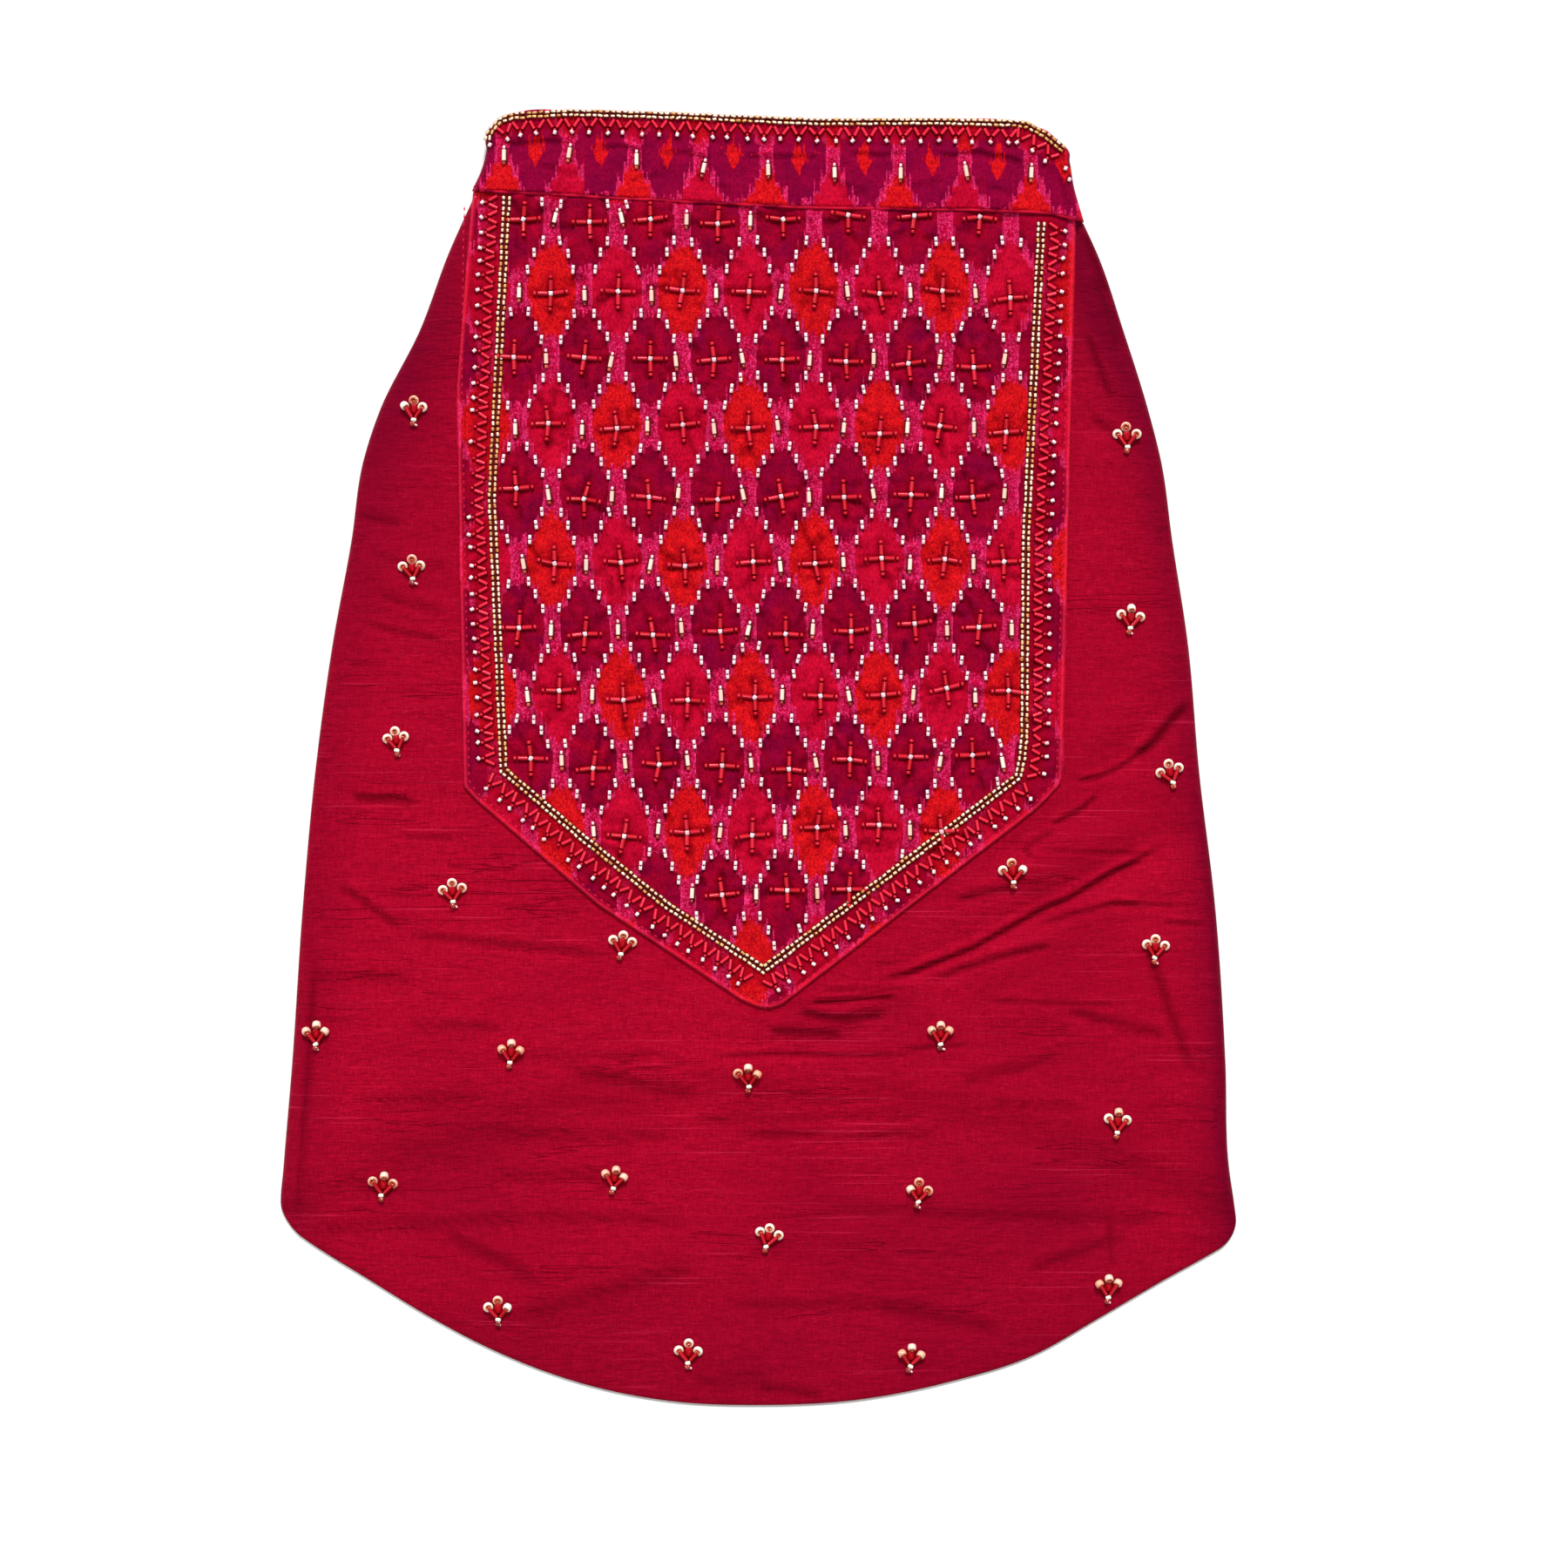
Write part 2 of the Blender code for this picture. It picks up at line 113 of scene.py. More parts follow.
class Finish:
    """A material built node by node."""

    def __init__(self, name, roughness=0.5, specular=0.5, metallic=0.0, **more):
        self.material = bpy.data.materials.new(name)
        self.material.use_nodes = True
        self.tree = self.material.node_tree
        self.shader = self.tree.nodes["Principled BSDF"]
        self.put("Roughness", roughness)
        self.put("Specular IOR Level", specular)
        self.put("Metallic", metallic)
        for socket, value in more.items():
            self.put(socket.replace("_", " "), value)

    def put(self, socket, value):
        """A number, a colour or a node's value on one of the shader's sockets."""
        self.feed(self.shader.inputs[socket], value)

    def feed(self, socket, value):
        """The same on a socket of any node."""
        if isinstance(value, Value):
            self.tree.links.new(value.socket, socket)
        elif isinstance(value, tuple) and len(value) == 3 and len(socket.default_value) == 4:
            socket.default_value = (*value, 1.0)
        else:
            socket.default_value = value

    def add(self, kind, *values, out=0, **settings):
        """A new node, with values on its first sockets, and one of the things that it gives."""
        made = self.tree.nodes.new(kind)
        for name, value in settings.items():
            setattr(made, name, value)
        for socket, value in zip(made.inputs, values):
            self.feed(socket, value)
        return Value(self, made.outputs[out])

    def calc(self, operation, *values):
        return self.add("ShaderNodeMath", *values, operation=operation)

    def place(self):
        """Place on the object in millimetres."""
        return self.stretch(self.add("ShaderNodeTexCoord", out="Object"), (1000.0, 1000.0, 1000.0))

    def stretch(self, vector, by):
        return self.add("ShaderNodeVectorMath", vector, by, operation="MULTIPLY")

    def noise(self, vector, by, detail=2.0, rough=0.5):
        """Cloudy noise, 0 to 1: by says how many cells there are in a millimetre along x, y, z."""
        made = self.tree.nodes.new("ShaderNodeTexNoise")
        self.feed(made.inputs["Vector"], self.stretch(vector, by))
        self.feed(made.inputs["Scale"], 1.0)
        self.feed(made.inputs["Detail"], detail)
        self.feed(made.inputs["Roughness"], rough)
        return Value(self, made.outputs["Fac"])

    def speck(self, x, y, seed):
        """One random value, 0 to 1, for each whole x and y."""
        vector = self.add("ShaderNodeCombineXYZ", x, y, seed)
        return self.add("ShaderNodeTexWhiteNoise", vector, out="Value")

    def carried(self, name):
        """A value that the mesh carries at its points."""
        return self.add("ShaderNodeAttribute", attribute_name=name, out="Fac")

    def mix(self, share, a, b, mode="MIX"):
        """Colour a with a share of colour b over it."""
        made = self.tree.nodes.new("ShaderNodeMix")
        made.data_type = "RGBA"
        made.blend_type = mode
        self.feed(made.inputs[0], share)
        self.feed(made.inputs[6], a)
        self.feed(made.inputs[7], b)
        return Value(self, made.outputs[2])

    def layered(self, colour, *layers):
        """A colour with others over it, each given as its share and its colour."""
        for share, tone in layers:
            colour = self.mix(share, colour, tone)
        return colour

    def paint(self, colour, *layers):
        """The finish's own colour, layered."""
        self.put("Base Color", self.layered(colour, *layers))

    def relief(self, height, depth, strength):
        """Bumps as deep as depth, in millimetres, where height goes from 0 to 1."""
        made = self.tree.nodes.new("ShaderNodeBump")
        self.feed(made.inputs["Strength"], strength)
        self.feed(made.inputs["Distance"], depth * MM)
        self.feed(made.inputs["Height"], height)
        self.put("Normal", Value(self, made.outputs[0]))


def add_object(name, mesh, finish):
    """An object of its own in the scene, with one finish."""
    mesh.materials.append(finish.material)
    made = bpy.data.objects.new(name, mesh)
    bpy.context.collection.objects.link(made)
    return made


def mesh_of(name, points, faces):
    """A smooth mesh from points in millimetres and faces of one size."""
    mesh = bpy.data.meshes.new(name)
    mesh.from_pydata((np.asarray(points) * MM).tolist(), [], np.asarray(faces).tolist())
    mesh.shade_smooth()
    return mesh


def sun(name, way, strength, spread):
    """Light that comes evenly from one way, softer the wider its spread."""
    lamp = bpy.data.lights.new(name, "SUN")
    lamp.energy = strength
    lamp.angle = math.radians(spread)
    made = bpy.data.objects.new(name, lamp)
    made.rotation_mode = "QUATERNION"
    made.rotation_quaternion = Vector(way).to_track_quat("Z", "Y")
    bpy.context.collection.objects.link(made)


for lamp_row in LAMPS:
    sun(*lamp_row)
world = bpy.data.worlds.new("studio")
world.use_nodes = True
world.node_tree.nodes["Background"].inputs["Color"].default_value = (1.0, 1.0, 1.0, 1.0)
world.node_tree.nodes["Background"].inputs["Strength"].default_value = WORLD_STRENGTH
bpy.context.scene.world = world

floor_finish = Finish("white_floor", roughness=0.9, specular=0.1)
floor_finish.paint((0.96, 0.955, 0.95))
floor_corners = [(x, y, FLOOR_LEVEL)
                 for x, y in ((-FLOOR, -FLOOR), (FLOOR, -FLOOR), (FLOOR, FLOOR), (-FLOOR, FLOOR))]
floor = add_object("floor", mesh_of("floor", floor_corners, [(0, 1, 2, 3)]), floor_finish)


# Belly panel: the same raw silk as the back, flat on the surface under it. It is hidden in the
# photograph, so it is plain: turned edges, a stitched hem and an opening for each front leg.
NECK_LEFT = (-87.9, 174.9)
NECK_RIGHT = (100.3, 165.2)
CORNER_LEFT = (-148.0, -144.6)
CORNER_RIGHT = (148.5, -149.0)
CORNER_ROUND = 6.2
SIDES = (
    # y, left x, right x
    (156.3, -96.3, 104.4), (132.0, -105.4, 112.7), (107.7, -117.6, 120.3), (91.5, -122.9, 124.4),
    (67.2, -126.5, 127.8), (34.8, -132.4, 132.7), (-5.0, -137.8, 136.2), (-46.2, -141.6, 141.1),
    (-94.8, -144.9, 144.3), (-127.2, -147.6, 145.4), (-139.5, -148.5, 147.2),
)
HEM = (
    # x, y
    (-140.8, -149.8), (-121.9, -161.7), (-103.0, -173.3), (-84.1, -183.3), (-55.8, -194.1),
    (-27.4, -199.8), (0.9, -201.0), (29.3, -199.5), (57.6, -194.1), (86.0, -185.0),
    (104.9, -174.2), (123.8, -163.1), (142.5, -152.6),
)
NECK_SEAM = (
    # x, y
    (-59.3, 173.7), (-32.8, 172.0), (-5.8, 170.6), (32.8, 169.3), (71.7, 168.7), (92.0, 167.2),
)
BELLY_HEM = (
    # x, y
    (-147.0, -130.0), (-105.0, -113.0), (-55.0, -99.0), (0.0, -94.0), (55.0, -99.0),
    (105.0, -113.0), (145.5, -130.0),
)
BELLY_CLOTH = 0.8
BELLY_LEVEL = 0.06
BELLY_SEAM_LEVEL = 1.05
BELLY_EDGE_ROLL = 2.2
BELLY_INSET = 0.5
BELLY_SHADE = 0.25
BELLY_SPAN = 290.0
BELLY_STEP = 2.6
BELLY_EDGE = (0.0, 0.5, 1.2, 2.2)
LEG_CENTRES = ((-50.0, 72.0), (50.0, 72.0))
LEG_HALF = (24.0, 33.0)
LEG_TURNING = 4.5
HEM_TURNING = 8.0
BELLY_STITCH = (2.3, 3.2, 0.45)


def through(rows, at):
    """Values at places on the smooth curve through rows of (place, value)."""
    rows = np.array(sorted(rows))
    places, values = rows[:, 0], rows[:, 1]
    slopes = np.gradient(values, places)
    i = np.clip(np.searchsorted(places, at) - 1, 0, len(rows) - 2)
    step = places[i + 1] - places[i]
    t = np.clip((at - places[i]) / step, 0.0, 1.0)
    start = (1 + 2 * t) * (1 - t) ** 2 * values[i] + t * (1 - t) ** 2 * step * slopes[i]
    end = t * t * (3 - 2 * t) * values[i + 1] + t * t * (t - 1) * step * slopes[i + 1]
    return start + end


def left_side(y):
    return through([(row[0], row[1]) for row in SIDES] + [NECK_LEFT[::-1], CORNER_LEFT[::-1]], y)


def right_side(y):
    return through([(row[0], row[2]) for row in SIDES] + [NECK_RIGHT[::-1], CORNER_RIGHT[::-1]], y)


def neck_seam(x):
    return through((NECK_LEFT,) + NECK_SEAM + (NECK_RIGHT,), x)


def tail_hem(x):
    return through((CORNER_LEFT,) + HEM + (CORNER_RIGHT,), x)


def belly_hem(x):
    return through(BELLY_HEM, x)


def from_sides(x, y):
    """Distance of places from the nearer side seam."""
    return np.minimum(x - left_side(y), right_side(y) - x)


def ease(share):
    """A share from 0 to 1 with a soft start and a soft end."""
    share = np.clip(share, 0.0, 1.0)
    return share * share * (3 - 2 * share)


def quarter_round(distance, radius):
    """Rise from 0 at an edge to 1 at a radius from it, as round as a quarter circle."""
    share = np.clip(distance / radius, 0.0, 1.0)
    return np.sqrt(1.0 - (1.0 - share) ** 2)


def places_along(length, step, edge_steps, fine=()):
    """Places along a length, finer at both ends and in a stretch given by start, end, step."""
    spots = np.linspace(edge_steps[-1], length - edge_steps[-1], 6000)
    steps = np.full(len(spots), float(step))
    if fine:
        away = np.maximum(np.maximum(fine[0] - spots, spots - fine[1]), 0.0)
        steps = fine[2] + (step - fine[2]) * ease(away / 10.0)
    total = np.concatenate([[0.0], np.cumsum(np.diff(spots) / steps[1:])])
    even = np.interp(np.linspace(0.0, total[-1], max(2, round(total[-1])) + 1), total, spots)
    return np.concatenate([edge_steps[:-1], even, length - np.array(edge_steps[:-1])[::-1]])


def grid_faces(rows, columns, around=False):
    """Quads between neighbouring points of a grid, closed round the rows' ends if asked."""
    i, j = np.meshgrid(np.arange(rows - 1), np.arange(columns if around else columns - 1),
                       indexing="ij")
    here = i * columns + j
    right = i * columns + (j + 1) % columns
    return np.stack([here, here + columns, right + columns, right], axis=-1).reshape(-1, 4)


def soft_noise(x, y, size, seed):
    """Smooth random values, -1 to 1, over cells of one size in millimetres."""
    lattice = np.random.default_rng(seed).uniform(-1.0, 1.0, (96, 96))
    gx, gy = (x + 400.0) / size, (y + 400.0) / size
    ix, iy = np.floor(gx).astype(int), np.floor(gy).astype(int)
    tx, ty = ease(gx - ix), ease(gy - iy)
    ix, iy = ix % 95, iy % 95
    low = lattice[iy, ix] * (1 - tx) + lattice[iy, ix + 1] * tx
    high = lattice[iy + 1, ix] * (1 - tx) + lattice[iy + 1, ix + 1] * tx
    return low * (1 - ty) + high * ty


def carry(mesh, name, values):
    """Puts one value a point on a mesh, for its finish to read."""
    attribute = mesh.attributes.new(name, "FLOAT", "POINT")
    attribute.data.foreach_set("value", np.asarray(values, dtype=np.float32).ravel())


def cloth_shell(name, mesh, finish, thick):
    """A sheet's mesh given its cloth's thickness, under its outer face."""
    sheet = add_object(name, mesh, finish)
    wall = sheet.modifiers.new("cloth", "SOLIDIFY")
    wall.thickness = thick * MM
    wall.offset = -1.0
    wall.use_even_offset = False
    return sheet


def silk_finish(name):
    """Crimson raw silk: warp and weft of uneven thread, slubs, thin crimps, painted shade and
    highlights.
    """
    silk = Finish(name, roughness=0.55, specular=0.06, Specular_Tint=(1.0, 0.04, 0.12, 1.0),
                  Sheen_Weight=0.03, Sheen_Roughness=0.4, Sheen_Tint=(1.0, 0.02, 0.10, 1.0))
    mm = silk.place()
    weft = silk.noise(mm, (0.30, 2.2, 0.4), 2.0, 0.60)
    warp = silk.noise(mm, (2.4, 0.26, 0.4), 2.0, 0.60)
    grain = weft * 0.5 + warp * 0.5
    slub = silk.noise(mm, (0.045, 0.95, 0.1), 2.0, 0.55).ramp(0.62, 0.78)
    dark_slub = silk.noise(mm, (0.050, 0.80, 0.7), 2.0, 0.55).ramp(0.39, 0.25)
    # painted highlight: thin light lines along crinkles, in some stretches of the silk
    highlit_stretches = silk.noise(mm, (0.016, 0.030, 0.2), 2.0, 0.5).ramp(0.46, 0.58)
    crinkle_highlight = silk.noise(mm, (0.018, 1.35, 0.05), 1.0, 0.4).ramp(0.66, 0.74) * highlit_stretches
    fleck = silk.noise(mm, (1.3, 2.3, 0.3), 1.0, 0.5).ramp(0.62, 0.80)
    cloud = silk.noise(mm, (0.014, 0.014, 0.01), 3.0, 0.6).ramp(0.38, 0.66, 0.0, 0.36)
    # thin crimps: grooves in the bump below, with painted shade along them
    off_crimp = abs(silk.noise(mm, (0.009, 0.16, 0.2), 3.0, 0.60) - 0.5)
    crimped = silk.noise(mm, (0.020, 0.045, 0.3), 2.0, 0.6).ramp(0.49, 0.62)
    crimp = off_crimp.ramp(0.012, 0.002) * crimped
    silk.paint((0.282, 0.0010, 0.0126),
               (grain.ramp(0.38, 0.62), (0.424, 0.0027, 0.0222)),
               (slub * 0.35, (0.57, 0.0070, 0.037)),
               (fleck * 0.55, (0.63, 0.0160, 0.062)),
               (dark_slub * 0.28, (0.140, 0.0006, 0.008)),
               # painted shade in the crimps
               (crimp * 0.44, (0.085, 0.0003, 0.004)),
               (cloud, (0.235, 0.0009, 0.0140)),
               # painted highlight along thin crinkles
               (crinkle_highlight * 0.50, (0.66, 0.022, 0.080)),
               # painted shade, darker and cooler near the sides and in patches
               (silk.carried("shade") * 0.80, (0.125, 0.0006, 0.0150)),
               # painted shade along the creases
               (silk.carried("crease") * 0.80, (0.060, 0.0002, 0.0030)))
    patch = silk.noise(mm, (0.028, 0.032, 0.3), 2.0).ramp(0.38, 0.62, 0.35, 1.1)
    crinkle = silk.noise(mm, (0.30, 0.80, 0.3), 3.0, 0.55)
    wrinkle = silk.noise(mm, (0.09, 0.24, 0.5), 2.0, 0.5)
    silk.relief(crinkle * patch + wrinkle * 1.3 + grain * 0.22 - crimp * 0.5, 0.60, 0.75)
    return silk


def dashes(name, route, finish, level, sizes, facing=1):
    """Running stitches along a route: short rounded dashes on the cloth's upper face, or with
    facing -1 on its lower one. Sizes are a stitch's length, the pitch and the thread's width.
    """
    length, pitch, width = sizes
    route = np.asarray(route, dtype=float)
    runs = np.hypot(*np.diff(route, axis=0).T)
    total = np.concatenate([[0.0], np.cumsum(runs)])
    points, faces = [], []
    for start in np.arange(pitch / 2, total[-1] - length, pitch):
        places = start + np.linspace(0.0, length, 4)
        xs = np.interp(places, total, route[:, 0])
        ys = np.interp(places, total, route[:, 1])
        way = np.array([xs[-1] - xs[0], ys[-1] - ys[0]])
        way /= np.hypot(*way) + 1e-9
        z = level(xs, ys)
        for k, (x, y) in enumerate(zip(xs, ys)):
            half = width / 2 * (0.35 if k in (0, 3) else 1.0)
            rise = 0.0 if k in (0, 3) else width * 0.45
            for a in np.linspace(0.0, math.pi, 4):
                across = half * math.cos(a)
                points.append((x - way[1] * across, y + way[0] * across,
                               z[k] + facing * (rise - 0.1 + half * 0.6 * math.sin(a))))
        first = len(points) - 16
        faces += (grid_faces(4, 4)[:, ::facing] + first).tolist()
    return add_object(name, mesh_of(name, points, faces), finish)


def panel_places(us, vs, hem, hem_left, hem_right, inset=0.0):
    """Places on a panel between the neck seam, both sides and a hem with two ends: us run from
    its left side to its right one, vs from the seam to the hem.
    """
    u, v = np.meshgrid(us, vs)
    top_x = NECK_LEFT[0] + u * (NECK_RIGHT[0] - NECK_LEFT[0])
    hem_x = hem_left[0] + u * (hem_right[0] - hem_left[0])
    left_y = NECK_LEFT[1] + v * (hem_left[1] - NECK_LEFT[1])
    right_y = NECK_RIGHT[1] + v * (hem_right[1] - NECK_RIGHT[1])
    top = np.stack([top_x, neck_seam(top_x)], -1)
    low = np.stack([hem_x, hem(hem_x)], -1)
    left = np.stack([left_side(left_y) + inset, left_y], -1)
    right = np.stack([right_side(right_y) - inset, right_y], -1)
    u, v = u[..., None], v[..., None]
    corners = (1 - v) * ((1 - u) * np.array(NECK_LEFT) + u * np.array(NECK_RIGHT))
    corners = corners + v * ((1 - u) * np.array(hem_left) + u * np.array(hem_right))
    return (1 - v) * top + v * low + (1 - u) * left + u * right - corners


shares = places_along(BELLY_SPAN, BELLY_STEP, BELLY_EDGE) / BELLY_SPAN
flat = panel_places(shares, shares, belly_hem, BELLY_HEM[0], BELLY_HEM[-1], BELLY_INSET)
from_side = np.clip(from_sides(flat[..., 0], flat[..., 1]) - BELLY_INSET, 0.0, None)
belly_faces = grid_faces(*flat.shape[:2])
flat = flat.reshape(-1, 2)
for centre in LEG_CENTRES:
    out = (flat - centre) / LEG_HALF
    reach = np.hypot(out[:, 0], out[:, 1])
    belly_faces = belly_faces[reach[belly_faces].mean(axis=1) > 1.0]
    near = np.zeros(len(flat), dtype=bool)
    near[belly_faces.ravel()] = True
    near &= reach < 1.0 + 1.1 * BELLY_STEP / LEG_HALF[0]
    rim = near & (np.bincount(belly_faces.ravel(), minlength=len(flat)) < 4)
    flat[rim] = out[rim] / reach[rim, None] * LEG_HALF + centre
used = np.unique(belly_faces)
renumber = np.zeros(len(flat), dtype=int)
renumber[used] = np.arange(len(used))
roll = quarter_round(from_side.ravel(), BELLY_EDGE_ROLL)
belly_z = BELLY_LEVEL + (BELLY_SEAM_LEVEL - BELLY_LEVEL) * (1 - roll)
belly_xyz = np.column_stack([flat, belly_z])[used]
belly_mesh = mesh_of("belly_cloth", belly_xyz, renumber[belly_faces][:, ::-1])
# an even share of the silk's painted shade on the hidden belly
carry(belly_mesh, "shade", BELLY_SHADE * np.ones(len(used)))
# no painted shade along creases on the belly
carry(belly_mesh, "crease", np.zeros(len(used)))
belly = cloth_shell("belly_cloth", belly_mesh, silk_finish("crimson_belly_silk"), BELLY_CLOTH)
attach(belly, "root")
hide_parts("belly_panel")

belly_thread = Finish("belly_thread", roughness=0.6, specular=0.1)
belly_thread.paint((0.50, 0.0060, 0.0350))
hem_x = np.linspace(BELLY_HEM[0][0] + 3.0, BELLY_HEM[-1][0] - 3.0, 160)
turns = np.linspace(0.0, 2 * math.pi, 90)
stitch_routes = {"belly_hem_stitches": np.column_stack([hem_x, belly_hem(hem_x) + HEM_TURNING])}
for side, centre in zip(("left", "right"), LEG_CENTRES):
    stitch_routes[f"{side}_leg_stitches"] = np.column_stack([
        centre[0] + (LEG_HALF[0] + LEG_TURNING) * np.cos(turns),
        centre[1] + (LEG_HALF[1] + LEG_TURNING) * np.sin(turns)])
for name, route in stitch_routes.items():
    stitches = dashes(name, route, belly_thread, lambda xs, ys: BELLY_LEVEL + 0 * xs,
                      BELLY_STITCH, -1)
    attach(stitches, "root")


# Back panel: one piece of crimson raw silk from side seam to side seam, rolled over the laid
# edges, with a long curved tail whose hem is turned under. Soft creases run in from the right.
BACK_WIDE = CORNER_RIGHT[0] - CORNER_LEFT[0]
BACK_LONG = 372.0
BACK_COLUMN_STEP = 2.5
BACK_ROW_STEP = 2.4
CREASED_COLUMNS = (142.0, 291.0, 1.2)
CREASED_ROWS = (147.0, 267.0, 1.05)
BACK_CLOTH = 0.8
BACK_EDGE = (0.0, 0.12, 0.4, 0.85, 1.5, 2.4, 3.6, 5.2)
SEAM_GAP = 0.3
CAD_CLOTH = 1.2
CAD_BELLY = 1.2
AIR_UNDER_BACK = 1.9
AIR_UNDER_TAIL = 1.0
SIDE_ROLL = 8.0
HEM_ROLL = 14.0
TAIL_DROP = 16.0
EDGE_ROLL = 1.6
SEAM_LEVEL = 1.25
HEM_LEVEL = 0.45
HEM_THINNER = 0.25
FOLDS = (
    # x and y of both ends, half width, height (a trough is less than 0)
    (129.0, -25.0, 88.0, -46.0, 6.0, -1.2),
    (88.0, -46.0, 36.0, -69.5, 5.5, -1.0),
    (121.0, -37.0, 70.0, -66.0, 7.0, 1.0),
    (134.0, 22.0, 112.0, 0.0, 6.0, -0.8),
    (112.0, 0.0, 94.0, -9.0, 5.5, -0.8),
    (104.0, -12.5, 77.0, -28.0, 5.5, -0.8),
    (112.0, -22.0, 84.0, -35.0, 6.0, 0.8),
    (40.0, -80.0, 8.0, -92.0, 6.0, -0.7),
    (-78.0, -173.0, -18.0, -156.0, 11.0, 0.9),
    (30.0, -148.0, 96.0, -128.0, 12.0, 0.7),
    (-112.0, -86.0, -60.0, -64.0, 10.0, 0.6),
    (-128.0, 66.0, -100.0, 44.0, 7.0, 0.6),
    (-118.0, -14.0, -98.0, -12.0, 5.5, -0.6),
    (106.0, 92.0, 120.0, 62.0, 7.0, 0.7),
    (-62.0, 142.0, -26.0, 66.0, 20.0, 0.5),
    (12.0, 152.0, 58.0, 96.0, 20.0, -0.4),
    (-44.0, 26.0, 28.0, -18.0, 18.0, 0.5),
    (48.0, 66.0, 72.0, 6.0, 16.0, -0.4),
    (-8.0, 112.0, 6.0, 44.0, 15.0, 0.4),
    (-74.0, 40.0, -62.0, -6.0, 14.0, -0.3),
)
